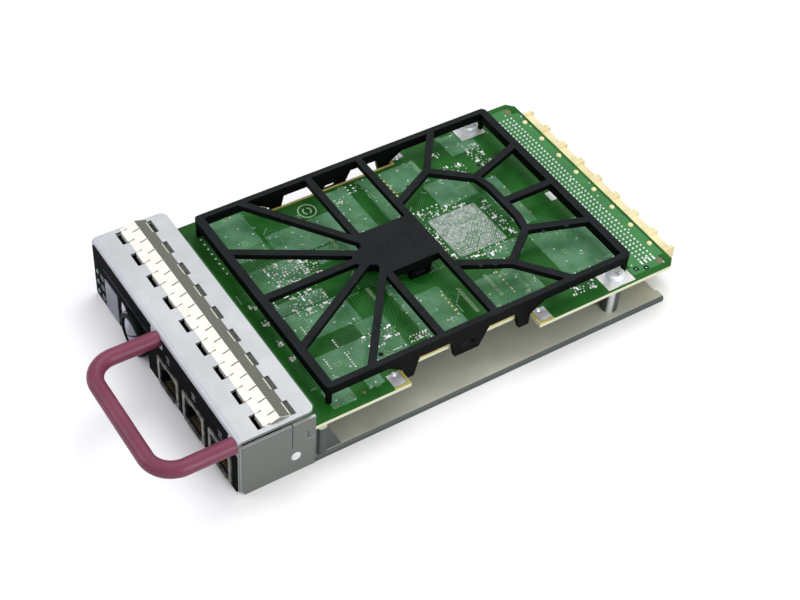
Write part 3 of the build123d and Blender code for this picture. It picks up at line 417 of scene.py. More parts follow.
# Push-buttons: grey plastic, polished; a painted highlight at the dome's upper left and a painted
# dark reflection beyond it
BUTTON_GREY = Finish(
    "polished_grey_plastic", "#666974", "#5b5e68", patch_size=6.0, roughness=0.22,
    gloss_spread=0.03, grain_size=2.5, relief=0.003, coat=0.3, edge_round=0.2,
    leans=(
        Lean((-0.2, -0.955, 0.22), 0.98, 0.998, "#a2a5ba"),
        Lean((0.34, -0.935, 0.1), 0.98, 0.998, "#33373a"),
    ),
)
# Collar of the push-buttons: black plastic, dull, with a painted highlight streak on its rounded
# edge
COLLAR_BLACK = Finish(
    "satin_black_plastic", "#101213", "#16191a", roughness=0.5, relief=0.003, specular=0.06,
    edge_round=0.2, leans=(Lean((-0.62, -0.45, 0.64), 0.9, 0.97, "#9295ab"),),
)
# Light pipes: pale green plastic, polished at the tip
LAMP = Finish(
    "pale_green_light_pipe", "#54806c", "#456f5d", patch_size=2.0, roughness=0.25, relief=0.002,
)
# Board: glass-epoxy laminate under dark green mask
BOARD = MaskedLaminate(
    "green_masked_laminate", "#1c611a", "#134a13", patch_size=15.0, roughness=0.4,
    grain_size=1.0, relief=0.01, specular=0.15,
)
# Copper planes under the mask, which turn it milky
COPPER_PLANE = MaskedCopper(
    "masked_copper_plane", "#598a66", "#40764c", patch_size=9.0, roughness=0.42,
    grain_size=0.8, relief=0.006, specular=0.25, slot=Slot.BOARD,
)
# Planes round the pins: thinner copper, so the mask stays a plain mid green
REAR_PLANE = MaskedCopper(
    "masked_pin_plane", "#3c8045", "#35763e", patch_size=12.0, roughness=0.4, grain_size=0.8,
    relief=0.006, specular=0.25, gaps="#2f6d38", gap_turn=0.0, slot=Slot.BOARD,
)
# Ball grid of the processor: bare lands and vias so close together that the field turns silvery
SILVERED_FIELD = Finish(
    "silvered_land_field", "#a9b6ac", "#667d6c", patch_size=1.8, roughness=0.45, grain_size=0.7,
    relief=0.03, specular=0.3, slot=Slot.BOARD,
)
# Tracks under the mask: the same copper, a little brighter than the laminate round it
TRACK = Finish(
    "masked_copper_track", "#33743a", "#3d7d45", patch_size=8.0, roughness=0.4, relief=0.004,
    specular=0.25, slot=Slot.BOARD,
)
# Bare laminate where the mask stops short of a cut edge
BARE_LAMINATE = Finish(
    "bare_glass_epoxy", "#bdb164", "#a89b4e", patch_size=3.0, roughness=0.6,
    specular=0.2, slot=Slot.BOARD,
)
# Solder joints: bright, rounded by the melt
SOLDER = Finish(
    "bright_solder", "#f2f5f5", "#dfe4e4", patch_size=1.2, metallic=0.4, roughness=0.3,
    grain_size=0.7, relief=0.02,
)
# Vias filled with mask: dull pale dots
DULL_VIA = Finish(
    "tented_via", "#8fb097", "#79a082", patch_size=1.5, roughness=0.5, relief=0.005, specular=0.2,
)
# Large tinned lands: levelled solder, grey and slightly rippled
TINNED_LAND = Finish(
    "levelled_tin_land", "#b9b9bb", "#a09fa3", patch_size=2.5, metallic=0.3, roughness=0.4,
    grain_size=1.5, relief=0.04,
)
# Lands under the screws: the same tin, still bright
BRIGHT_LAND = Finish(
    "bright_tin_land", "#dddcd8", "#cbc9c5", patch_size=3.0, metallic=0.2, roughness=0.4,
    grain_size=1.5, relief=0.03,
)
# Test points: gold plate, warm and bright
GOLD = Finish(
    "gold_plated_pad", "#d8c47e", "#c2ab62", patch_size=2.0, metallic=0.5, roughness=0.35,
    relief=0.004,
)
# Guard web: black moulded plastic with a spark-eroded grain and softly rounded edges; its upright
# faces are darkened almost to black with painted shade
GUARD = Finish(
    "black_moulded_guard", "#1b1e1f", "#212426", patch_size=14.0, roughness=0.55,
    gloss_spread=0.08, grain_size=0.5, relief=0.015, specular=0.05, edge_round=0.35,
    leans=(
        Lean((1, 0, 0), 0.5, 0.9, "#060707", both=True),
        Lean((0, 1, 0), 0.5, 0.9, "#060707", both=True),
    ),
    slot=Slot.GUARD,
)
# Ejector marks on the guard, rubbed a little lighter
GUARD_MARK = Finish(
    "rubbed_guard_mark", "#23272a", "#1e2123", patch_size=3.0, roughness=0.6, grain_size=0.5,
    relief=0.01, specular=0.08, slot=Slot.GUARD,
)
# Moulding compound of chips: dull black epoxy
COMPOUND = Finish(
    "chip_moulding_compound", "#17181a", "#202224", patch_size=5.0, roughness=0.6,
    grain_size=0.3, relief=0.01, specular=0.25,
)
# Socket shields: tinned folded steel, dulled by handling
SHIELD = Finish(
    "tinned_shield", "#94968b", "#53554d", patch_size=2.4, metallic=0.45, roughness=0.36,
    grain_size=0.8, relief=0.01, edge_round=0.12,
)
# Socket inserts: black plastic, matt inside
INSERT = Finish(
    "black_socket_plastic", "#0b0c0c", "#111213", roughness=0.55, relief=0.008, specular=0.2,
)
# Socket contacts: gold-plated spring wire, darkened with painted shade for the inside of the insert
CONTACT = Finish(
    "gold_plated_spring", "#7d6c48", "#5f5238", patch_size=2.0, metallic=0.8, roughness=0.4,
    relief=0.003,
)
# Receptacle: cream liquid-crystal polymer with faint flow lines
CREAM = Finish(
    "cream_connector_plastic", "#e8deb2", "#dfd3a4", patch_size=10.0, roughness=0.5,
    grain_size=1.2, relief=0.01, grain=Grain.ALONG, specular=0.3, edge_round=0.4,
)
# Cans of the capacitors and the crystal: drawn aluminium, satin
CAN = Finish(
    "drawn_aluminium_can", "#c4c5c6", "#b3b4b6", patch_size=4.0, metallic=1.0, roughness=0.35,
    relief=0.004,
)
# Board legend: white ink, matt and crisp
WHITE_INK = InkAndPaintedLight("white_legend_ink", "#dfe6de", "#cfd8cf", roughness=0.6, slot=Slot.BOARD)
# Board legend where it is worn thin: the green shows through
PALE_INK = InkAndPaintedLight(
    "worn_legend_ink", "#a9c19c", "#93ae88", patch_size=1.5, roughness=0.6, slot=Slot.BOARD
)
# Symbols on the front overlay: light grey ink
GREY_INK = InkAndPaintedLight("grey_overlay_ink", "#b4b8c2", "#9da1aa", slot=Slot.FILM)
# Rule on the front overlay: the same ink, so fine that it looks dim
RULE_INK = InkAndPaintedLight("dim_overlay_ink", "#5c6163", "#505557", specular=0.1, slot=Slot.FILM)
# Painted reflection beside the push-buttons: a glossy pale streak on the overlay, as bright as a
# window's reflection
PAINTED_REFLECTION_STREAK = InkAndPaintedLight(
    "painted_violet_reflection", "#d9d9ea", "#c9c9dd", roughness=0.35, specular=0.5, slot=Slot.FILM
)
# Bodies of the small resistors and capacitors: matt tan ceramic between bright ends
CERAMIC_TAN = Finish("tan_ceramic", "#b3ad8a", "#9c9673", patch_size=1.5)
# Bare copper marks near the board's corners: tarnished brown
BARE_COPPER = Finish("dulled_copper_mark", "#6f6a48", "#5f5a3c", patch_size=1.5)
# Drilled holes, as near-black painted shade for the dark inside of a hole, and dark squares: almost
# black, with no gloss
HOLE_SHADE_AND_DARK_MASK = Finish(
    "unlit_drill_hole", "#0d1a0e", "#122012", patch_size=2.0, roughness=0.7, specular=0.1,
    slot=Slot.BOARD,
)
# Strip below the rear slots: a dull greenish plate of painted shade, standing for the shaded spring
# tongues seen through the slots
REAR_SLOT_SHADE = Finish(
    "painted_rear_slot_shade", "#7c8273", "#6e7466", patch_size=4.0, metallic=0.1, roughness=0.6,
    relief=0.006, specular=0.2, slot=Slot.BRONZE,
)
# Black sheet of painted shade between the board's front end and the bezel, so that the bezel's
# slots look dark
FRONT_SLOT_SHADE = Finish(
    "painted_front_slot_shade", "#050505", "#080808", patch_size=6.0, roughness=0.9, specular=0.05,
    slot=Slot.FILM,
)


class Datum:
    """Places on the module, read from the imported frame: millimetres in, metres out."""

    def __init__(self) -> None:
        """Read the bezel's front face and the board's top face."""
        self.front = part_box("front_bezel")[0].y
        self.board_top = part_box("main_board")[1].z / MM

    def at(self, x: float, depth: float, z: float) -> Vector:
        """Point in metres: across the module, behind the bezel's face, over the underside."""
        return Vector((x * MM, self.front + depth * MM, z * MM))

    def spot(self, point: Vector) -> Spot:
        """Place across and depth of a point in metres."""
        return point.x / MM, (point.y - self.front) / MM


def placed(name: str, data: bpy.types.ID | None) -> bpy.types.Object:
    """Link a mesh, a lamp or a camera into the scene as an object at the origin."""
    piece = bpy.data.objects.new(name, data)
    bpy.context.scene.collection.objects.link(piece)
    return piece


def finished(piece: bpy.types.Object, finish: Finish) -> None:
    """Give a piece its finish and the body that carries it, and log it.

    Args:
        piece: the piece.
        finish: what it is made of.
    """
    piece.data.materials.clear()
    piece.data.materials.append(finish.build())
    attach(piece, CHASSIS)
    log.info("%s: %d faces, %s", piece.name, len(piece.data.polygons), finish.title)


def dress(nodes: Nodes, finish: Finish, *names: str) -> None:
    """Give CAD nodes their material.

    Args:
        nodes: the frame's nodes.
        finish: what they are made of.
        *names: the names of those to dress.
    """
    for name in names:
        for entry in nodes[name].material_slots:
            entry.material = finish.build()
        log.info("%s dressed as %s", name, finish.title)


def numbered(stem: str, count: int) -> list[str]:
    """Node names stem_1 to stem_count."""
    return [f"{stem}_{number}" for number in range(1, count + 1)]


class Solid:
    """Closed shapes in the making, gathered in one mesh."""

    def __init__(self) -> None:
        """Start with nothing."""
        self.shape = bmesh.new()

    def mesh(self) -> bpy.types.Mesh:
        """End the making with a mesh whose faces look outward."""
        bmesh.ops.recalc_face_normals(self.shape, faces=self.shape.faces)
        mesh = bpy.data.meshes.new("solid")
        self.shape.to_mesh(mesh)
        self.shape.free()
        return mesh

    def piece(self, name: str, finish: Finish, slot: Slot | None = None) -> None:
        """End the making with a finished piece; the arguments are those of finished."""
        finished(placed(name, self.mesh()), finish)

    def skin(self, loops: Sequence[Sequence[Vector]], endless: bool = False) -> "Solid":
        """Stretch a skin over a row of loops.

        Args:
            loops: points of each loop in metres, all loops with the same count.
            endless: whether the last loop leads back to the first; if not, both ends are closed.

        Returns:
            The solid itself.
        """
        rows = [[self.shape.verts.new(point) for point in loop] for loop in loops]
        for now, then in zip(rows, rows[1:] + rows[:1] if endless else rows[1:]):
            for index in range(len(now)):
                after = (index + 1) % len(now)
                self.shape.faces.new((now[index], now[after], then[after], then[index]))
        if not endless:
            self.shape.faces.new(rows[0])
            self.shape.faces.new(rows[-1])
        return self

    def dome(self, radius: float, height: float, sides: int = 8) -> "Solid":
        """Add a low solder dome on the origin.

        Args:
            radius: radius of its base.
            height: height of its top.
            sides: corners of its base.

        Returns:
            The solid itself.
        """
        ways = [math.tau * side / sides for side in range(sides)]
        loops = [
            [Vector((math.cos(a) * width, math.sin(a) * width, level * height)) * MM for a in ways]
            for width, level in ((radius * share, level) for share, level in DOME_LEVELS)
        ]
        return self.skin(loops)

    def block(
        self, size: Sequence[float], middle: Sequence[float] = (0, 0, 0), bevel: float = 0.0
    ) -> "Solid":
        """Add a box.

        Args:
            size: its three sizes.
            middle: its middle.
            bevel: width of the bevel on its edges.

        Returns:
            The solid itself.
        """
        sizes = Matrix.Diagonal((*(side * MM for side in size), 1))
        place = Matrix.Translation(Vector(middle) * MM) @ sizes
        corners = bmesh.ops.create_cube(self.shape, size=1.0, matrix=place)["verts"]
        if bevel:
            edges = [edge for edge in self.shape.edges if edge.verts[0] in corners]
            bmesh.ops.bevel(self.shape, geom=edges, offset=bevel * MM, segments=1, affect="EDGES")
        return self

    def ring(
        self, middle: Vector, radii: Spot, height: float, arc: Spot = (0.0, 360.0), sides: int = 40
    ) -> "Solid":
        """Add a flat ring, or a part of one.

        Args:
            middle: its middle on its lower face, in metres.
            radii: inner and outer radius.
            height: its thickness.
            arc: first and last angle of the part that is made, in degrees.
            sides: pieces of the arc.

        Returns:
            The solid itself.
        """
        whole = arc[1] - arc[0] >= 360.0
        rise = Vector((0.0, 0.0, height * MM))
        loops = []
        for stop in range(sides if whole else sides + 1):
            angle = math.radians(arc[0] + (arc[1] - arc[0]) * stop / sides)
            away = Vector((math.cos(angle), math.sin(angle), 0.0)) * MM
            inner, outer = middle + away * radii[0], middle + away * radii[1]
            loops.append((inner, outer, outer + rise, inner + rise))
        return self.skin(loops, endless=whole)

    def plates(self, outlines: Iterable[Sequence[Vector]], rise: Vector) -> "Solid":
        """Add flat plates.

        Args:
            outlines: the outline of each plate, in metres.
            rise: way from there to the plate's other face, in millimetres.

        Returns:
            The solid itself.
        """
        for points in outlines:
            self.skin([points, [point + rise * MM for point in points]])
        return self


def carrier(
    points: Sequence[Vector],
    edges: Sequence[tuple[int, int]] = (),
    faces: Sequence[Sequence[int]] = (),
) -> bpy.types.Mesh:
    """Mesh that a recipe starts from."""
    mesh = bpy.data.meshes.new("carrier")
    mesh.from_pydata(points, edges, faces)
    return mesh


class Recipe:
    """A Geometry Nodes tree with named inputs, run on a carrier mesh and turned into a piece."""

    def __init__(self, title: str, **sockets: Socket) -> None:
        """Make the tree with its inputs.

        Args:
            title: the tree's name.
            **sockets: kind of each input, besides the carrier.
        """
        self.tree = bpy.data.node_groups.new(title, "GeometryNodeTree")
        face = self.tree.interface
        face.new_socket("Geometry", in_out="OUTPUT", socket_type=Socket.GEOMETRY.value)
        wanted = {"Carrier": Socket.GEOMETRY, **sockets}
        self.keys = {
            name: face.new_socket(name, in_out="INPUT", socket_type=kind.value).identifier
            for name, kind in wanted.items()
        }
        self.given = self.node("NodeGroupInput")

    def node(
        self, kind: str, inputs: Inputs | None = None, **settings: object
    ) -> Mapping[int | str, Out]:
        """Outputs of a new node of this tree; the arguments are those of add_node."""
        return add_node(self.tree, kind, inputs, **settings).outputs

    def close(self, result: Out) -> None:
        """End the tree: what it made is realized and goes out."""
        real = self.node("GeometryNodeRealizeInstances", {"Geometry": result})["Geometry"]
        self.node("NodeGroupOutput", {"Geometry": real})

    def close_with_copies(self, points: Out, **placing: Out) -> None:
        """End the tree with its Copy on each point; placing gives a Rotation or a Scale."""
        copy = self.node("GeometryNodeObjectInfo", {"Object": self.given["Copy"]})["Geometry"]
        inputs = {"Points": points, "Instance": copy, **placing}
        self.close(self.node("GeometryNodeInstanceOnPoints", inputs)["Instances"])

    def run(
        self,
        name: str,
        start: bpy.types.Mesh,
        finish: Finish,
        copy: Solid | None = None,
        **values: object,
    ) -> None:
        """Run the tree once and keep its result as a finished piece with no modifier on it.

        Args:
            name: the piece's name.
            start: the carrier mesh that the tree starts from.
            finish: what the piece is made of.
            copy: the solid that the tree repeats, if it has an input for one.
            **values: a value for each of its other inputs.
        """
        original = placed(f"{name}_copy", copy.mesh()) if copy else None
        if original:
            values["Copy"] = original
        carrying = placed(f"{name}_carrier", start)
        modifier = carrying.modifiers.new(self.tree.name, "NODES")
        modifier.node_group = self.tree
        for key, value in values.items():
            modifier[self.keys[key]] = value
        whole = carrying.evaluated_get(bpy.context.evaluated_depsgraph_get())
        made = bpy.data.meshes.new_from_object(whole)
        carrying.modifiers.clear()
        bpy.data.objects.remove(carrying)
        if original:
            bpy.data.objects.remove(original)
        finished(placed(name, made), finish)


class ScatterRecipe(Recipe):
    """Copies of a solid, strewn over the carrier's faces at least Spacing apart."""

    densest: float = 1e6
    quarters: int = 3

    def __init__(self) -> None:
        """Build the tree: the copies are turned by quarter turns and shrunk down to Least."""
        number, count, piece = Socket.NUMBER, Socket.COUNT, Socket.PIECE
        super().__init__("strewn_copies", Spacing=number, Least=number, Seed=count, Copy=piece)
        seed = self.given["Seed"]
        lie = {
            "Mesh": self.given["Carrier"],
            "Distance Min": self.given["Spacing"],
            "Density Max": self.densest,
            "Seed": seed,
        }
        points = self.node(
            "GeometryNodeDistributePointsOnFaces", lie, distribute_method="POISSON"
        )["Points"]
        count_out, count_low, count_high = 2, 4, 5
        inputs = {count_low: 0, count_high: self.quarters, "Seed": seed}
        quarter = self.node("FunctionNodeRandomValue", inputs, data_type="INT")[count_out]
        angle = maths(self.tree, "MULTIPLY", quarter, math.pi / 2)
        turn = self.node("ShaderNodeCombineXYZ", {"Z": angle})["Vector"]
        size_out, size_low, size_high = 1, 2, 3
        inputs = {size_low: self.given["Least"], size_high: 1.0, "Seed": seed}
        size = self.node("FunctionNodeRandomValue", inputs, data_type="FLOAT")[size_out]
        self.close_with_copies(points, Rotation=turn, Scale=size)


class VertexRecipe(Recipe):
    """Copies of a solid, one on each vertex of the carrier."""

    def __init__(self) -> None:
        """Build the tree."""
        super().__init__("copies_on_vertices", Copy=Socket.PIECE)
        points = self.node("GeometryNodeMeshToPoints", {"Mesh": self.given["Carrier"]})
        self.close_with_copies(points["Points"])


class RibbonRecipe(Recipe):
    """A flat ribbon along each chain of the carrier's edges."""

    def __init__(self) -> None:
        """Build the tree: level ribbons of a named width and height."""
        super().__init__("flat_ribbons", Width=Socket.NUMBER, Height=Socket.NUMBER)
        runs = self.node("GeometryNodeMeshToCurve", {"Mesh": self.given["Carrier"]})["Curve"]
        level = self.node("GeometryNodeSetCurveNormal", {"Curve": runs}, mode="Z_UP")["Curve"]
        size = {"Width": self.given["Width"], "Height": self.given["Height"]}
        section = self.node("GeometryNodeCurvePrimitiveQuadrilateral", size)["Curve"]
        inputs = {"Curve": level, "Profile Curve": section, "Fill Caps": True}
        self.close(self.node("GeometryNodeCurveToMesh", inputs)["Mesh"])


@dataclass(frozen=True)
class Patch:
    """A rectangle on the board, by its middle and sizes, with its corners rounded."""

    x: float
    depth: float
    width: float
    length: float
    corner: float = 0.6
    corner_steps: int = 4
    widest_corner: float = 0.9

    def corners(self, datum: Datum, z: float) -> list[Vector]:
        """Its four corners in metres, at a height."""
        return [
            datum.at(self.x + sx * self.width / 2, self.depth + sy * self.length / 2, z)
            for sx, sy in ((-1, -1), (1, -1), (1, 1), (-1, 1))
        ]

    def outline(self, datum: Datum, z: float) -> list[Vector]:
        """Its rounded outline.

        Args:
            datum: places on the module.
            z: height of the outline.

        Returns:
            The points of the outline, in metres.
        """
        corners = self.corners(datum, z)
        halves = (self.width / 2, self.length / 2)
        reach = min(self.corner, *(half * self.widest_corner for half in halves)) * MM
        points = []
        for index, corner in enumerate(corners):
            before = (corners[index - 1] - corner).normalized()
            after = (corners[(index + 1) % len(corners)] - corner).normalized()
            first, last = corner + before * reach, corner + after * reach
            for step in range(self.corner_steps + 1):
                share = step / self.corner_steps
                points.append(
                    first * (1 - share) ** 2 + corner * 2 * share * (1 - share) + last * share**2
                )
        return points


@dataclass(frozen=True)
class DotRow:
    """A straight row of small marks or joints on the board."""

    x: float
    depth: float
    step_x: float
    step_depth: float
    count: int

    def places(self) -> list[Spot]:
        """Place across and depth of each mark."""
        steps = range(self.count)
        return [(self.x + i * self.step_x, self.depth + i * self.step_depth) for i in steps]


def as_patches(*rows: Sequence[float]) -> tuple[Patch, ...]:
    """Patches with the given fields."""
    return tuple(Patch(*row) for row in rows)


def as_rows(*rows: Sequence[float]) -> tuple[DotRow, ...]:
    """Rows of marks with the given fields."""
    return tuple(DotRow(*row) for row in rows)


@dataclass(frozen=True)
class TrackBundle:
    """A bundle of parallel tracks that leaves one place and turns by eighths of a turn."""

    x: float
    depth: float
    heading: int
    runs: tuple[tuple[float, int], ...]
    count: int = 5
    pitch: float = 0.9
    sharpest: float = 0.4

    def tracks(self, datum: Datum, z: float) -> list[list[Vector]]:
        """The points of each track.

        Args:
            datum: places on the module.
            z: height of the tracks' middle.

        Returns:
            One list of points for each track, in metres.
        """
        eighth = math.tau / 8
        angle = self.heading * eighth
        spine = [Vector((self.x, self.depth))]
        normals = []
        for length, turn in self.runs:
            step = Vector((math.cos(angle), math.sin(angle)))
            spine.append(spine[-1] + step * length)
            normals.append(Vector((-step.y, step.x)))
            angle += turn * eighth
        sides = [normals[0]]
        for first, second in zip(normals, normals[1:]):
            middle = (first + second).normalized()
            sides.append(middle / max(middle.dot(first), self.sharpest))
        sides.append(normals[-1])
        tracks = []
        for index in range(self.count):
            offset = (index - (self.count - 1) / 2) * self.pitch
            points = [p + s * offset for p, s in zip(spine, sides)]
            tracks.append([datum.at(p.x, p.y, z) for p in points])
        return tracks


@dataclass(frozen=True)
class Lamp:
    """A soft square lamp that looks at the module's middle."""

    name: str
    place: tuple[float, float, float]
    size: float
    watts: float
    tint: str = WHITE
    aim: tuple[float, float, float] = (0, 0, 20)

    def hang(self) -> None:
        """Create the lamp."""
        data = bpy.data.lights.new(self.name, "AREA")
        data.size = self.size * MM
        data.energy = self.watts
        data.color = linear(self.tint)[:3]
        lamp = placed(self.name, data)
        lamp.location = Vector(self.place) * MM
        way = Vector(self.aim) * MM - lamp.location
        lamp.rotation_euler = way.to_track_quat("-Z", "Y").to_euler()


@dataclass
class Studio:
    """Pale floor, soft lamps, and the camera at the photograph's place."""

    eye: tuple[float, float, float] = (357.51, -242.13, 454.06)
    yaw: float = 53.848
    pitch: float = 46.133
    roll: float = 4.711
    focal_length: float = 72.286
    sensor: float = 36.0
    clip_start: float = 10.0
    floor_colour: str = "#fbfbfb"
    floor_bounce: str = "#858585"
    floor_size: float = 30000.0
    horizon_strength: float = 0.42
    zenith_strength: float = 1.0
    lamps: tuple[Lamp, ...] = (
        Lamp("overhead_lamp", (-250, 350, 900), 500, 2.6),
        Lamp("handle_side_lamp", (-350, -650, 450), 350, 1.8, "#e9e6ff"),
        Lamp("tray_side_lamp", (650, 100, 230), 300, 2.4),
    )

    def camera(self) -> None:
        """Create the camera and make it the scene's own."""
        yaw, pitch, roll = (math.radians(a) for a in (self.yaw, self.pitch, self.roll))
        ahead = Vector(
            (-math.sin(yaw) * math.cos(pitch), math.cos(yaw) * math.cos(pitch), -math.sin(pitch))
        )
        level = Vector((math.cos(yaw), math.sin(yaw), 0))
        above = level.cross(ahead)
        right = level * math.cos(roll) + above * math.sin(roll)
        up = above * math.cos(roll) - level * math.sin(roll)
        data = bpy.data.cameras.new("photo_camera")
        data.sensor_width = self.sensor
        data.sensor_fit = "HORIZONTAL"
        data.lens = self.focal_length
        data.clip_start = self.clip_start * MM
        camera = placed("photo_camera", data)
        turned = Matrix((right, up, -ahead)).transposed().to_4x4()
        camera.matrix_world = Matrix.Translation(Vector(self.eye) * MM) @ turned
        bpy.context.scene.camera = camera

    def floor(self) -> None:
        """Lay the floor: white to the eye and in reflections, with a softer bounce of light."""
        half = self.floor_size / 2 * MM
        corners = [Vector((x * half, y * half, 0)) for x, y in ((-1, -1), (1, -1), (1, 1), (-1, 1))]
        piece = placed("floor", carrier(corners, faces=[(0, 1, 2, 3)]))
        material = bpy.data.materials.new("pale_matt_floor")
        material.use_nodes = True
        tree = material.node_tree
        ray = add_node(tree, "ShaderNodeLightPath").outputs
        seen = maths(tree, "MAXIMUM", ray["Is Camera Ray"], ray["Is Glossy Ray"])
        seen = maths(tree, "MAXIMUM", seen, ray["Is Transmission Ray"])
        colour = mixed(tree, seen, linear(self.floor_bounce), linear(self.floor_colour))
        inputs = {"Base Color": colour, "Roughness": 0.9, "Specular IOR Level": 0.05}
        feed(tree, tree.nodes["Principled BSDF"], inputs)
        piece.data.materials.append(material)

    def sky(self) -> None:
        """Soft even light that grows from the horizon to straight above."""
        world = bpy.data.worlds.new("soft_studio")
        world.use_nodes = True
        bpy.context.scene.world = world
        tree = world.node_tree
        place = add_node(tree, "ShaderNodeTexCoord").outputs["Generated"]
        height = add_node(tree, "ShaderNodeSeparateXYZ", {"Vector": place}).outputs["Z"]
        strength = ramp(tree, height, low=self.horizon_strength, high=self.zenith_strength)
        feed(tree, tree.nodes["Background"], {"Color": linear(WHITE), "Strength": strength})

    def build(self) -> None:
        """Set up the whole studio."""
        bpy.context.scene.view_settings.view_transform = "Standard"
        self.camera()
        self.floor()
        self.sky()
        for lamp in self.lamps:
            lamp.hang()
        log.info("studio ready")


@dataclass
class Metalwork:
    """Tray, bezel, rivets, spring fingers, and the thin plates of painted shade under the bezel's
    slots.
    """

    nodes: Nodes
    datum: Datum
    # outlines of the plates of painted shade under the front and rear slots
    sheet: Patch = Patch(0, 11.7, 111.0, 17.0, 2.0)
    strip: Patch = Patch(0, 24.8, 111.0, 8.6, 0.5)
    sheet_thickness: float = 0.15

    def under_slots(self, name: str, patch: Patch, finish: Finish) -> None:
        """Thin plate of painted shade on the board's front end, which the bezel's slots look down
        on.
        """
        outline = patch.outline(self.datum, self.datum.board_top)
        Solid().plates([outline], Vector((0, 0, self.sheet_thickness))).piece(name, finish)

    def build(self) -> None:
        """Dress the sheet metal."""
        dress(self.nodes, ZINC, "front_bezel")
        dress(self.nodes, GALVANISED, "base_tray")
        dress(self.nodes, BRIGHT_TIN, "finger_strip")
        dress(self.nodes, PLATED, "side_rivets", "board_washers", "board_screws")
        dress(self.nodes, TURNED, "standoffs")
        dress(self.nodes, DIP_COAT, "handle")
        self.under_slots("insulating_sheet", self.sheet, FRONT_SLOT_SHADE)
        self.under_slots("dulled_strip", self.strip, REAR_SLOT_SHADE)


@dataclass
class FrontPanel:
    """Overlay, display window, lamps, push-buttons and sockets."""

    nodes: Nodes
    socket_count: int = 3
    lamp_count: int = 3
    print_height: float = 0.03
    line_width: float = 0.3
    rule: tuple[float, float, float, float] = (-47.6, 20.6, -9.6, 20.6)
    symbol_x: float = -49.6
    symbol_heights: tuple[float, ...] = (14.2, 8.9, 3.4)
    symbol_size: float = 2.0
    tag_widths: tuple[float, ...] = (2.6, 1.9, 2.6)
    tag_heights: tuple[float, ...] = (19.3, 20.6, 21.9)
    # outline of the painted reflection streak beside the push-buttons
    streak: tuple[Spot, ...] = (
        (-32.4, 16.8), (-30.7, 16.6), (-29.1, 15.8), (-28.2, 14.1),
        (-29.2, 10.7), (-31.2, 9.4), (-32.6, 10.6), (-32.9, 12.8),
    )

    def marks(self, name: str, shapes: Iterable[Sequence[Spot]], finish: Finish) -> None:
        """Printed marks, and the painted reflection streak, on the overlay.

        Args:
            name: the piece's name.
            shapes: each mark's corners, as places across and up.
            finish: what they are drawn in.
        """
        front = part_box("front_overlay")[0].y
        outlines = [[Vector((x * MM, front, z * MM)) for x, z in corners] for corners in shapes]
        Solid().plates(outlines, Vector((0, -self.print_height, 0))).piece(name, finish)

    def bar(self, x1: float, z1: float, x2: float, z2: float) -> list[Spot]:
        """Corners of a straight printed line of the usual width."""
        start, end = Vector((x1, z1)), Vector((x2, z2))
        along = (end - start).normalized() * self.line_width / 2
        side = Vector((-along.y, along.x))
        first, last = start - along, end + along
        return [(p.x, p.y) for p in (first - side, last - side, last + side, first + side)]

    def symbol(self, x: float, z: float) -> list[list[Spot]]:
        """Four lines of a small square symbol, with a bar across it."""
        half, gap = self.symbol_size / 2, self.line_width
        return [
            self.bar(x - half, z - half, x + half, z - half),
            self.bar(x - half, z + half, x + half, z + half),
            self.bar(x - half, z - half + gap, x - half, z + half - gap),
            self.bar(x + half, z - half + gap, x + half, z + half - gap),
            self.bar(x - half + 2 * gap, z, x + half - 2 * gap, z),
        ]

    def prints(self) -> None:
        """Rule, symbols beside the lamps, tags over the sockets and the painted reflection streak.
        """
        lines = [line for z in self.symbol_heights for line in self.symbol(self.symbol_x, z)]
        for name in numbered("jack_shield", self.socket_count):
            low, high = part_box(name)
            middle = (low.x + high.x) / 2 / MM
            for width, z in zip(self.tag_widths, self.tag_heights):
                lines.append(self.bar(middle - width / 2, z, middle + width / 2, z))
        self.marks("overlay_rule", [self.bar(*self.rule)], RULE_INK)
        self.marks("overlay_prints", lines, GREY_INK)
        # painted reflection drawn on the overlay
        self.marks("overlay_streak", [self.streak], PAINTED_REFLECTION_STREAK)

    def build(self) -> None:
        """Dress the front."""
        dress(self.nodes, FILM, "front_overlay")
        dress(self.nodes, LENS, "display_lens")
        dress(self.nodes, COMPOUND, "display_module", "board_header")
        dress(self.nodes, LAMP, *numbered("status_lamp", self.lamp_count))
        dress(self.nodes, COLLAR_BLACK, "button_collar")
        dress(self.nodes, BUTTON_GREY, "upper_button", "lower_button")
        dress(self.nodes, COMPOUND, "upper_switch", "lower_switch")
        dress(self.nodes, BOARD, "indicator_board")
        dress(self.nodes, SHIELD, *numbered("jack_shield", self.socket_count))
        dress(self.nodes, INSERT, *numbered("jack_insert", self.socket_count))
        dress(self.nodes, CONTACT, *numbered("jack_contacts", self.socket_count))
        self.prints()


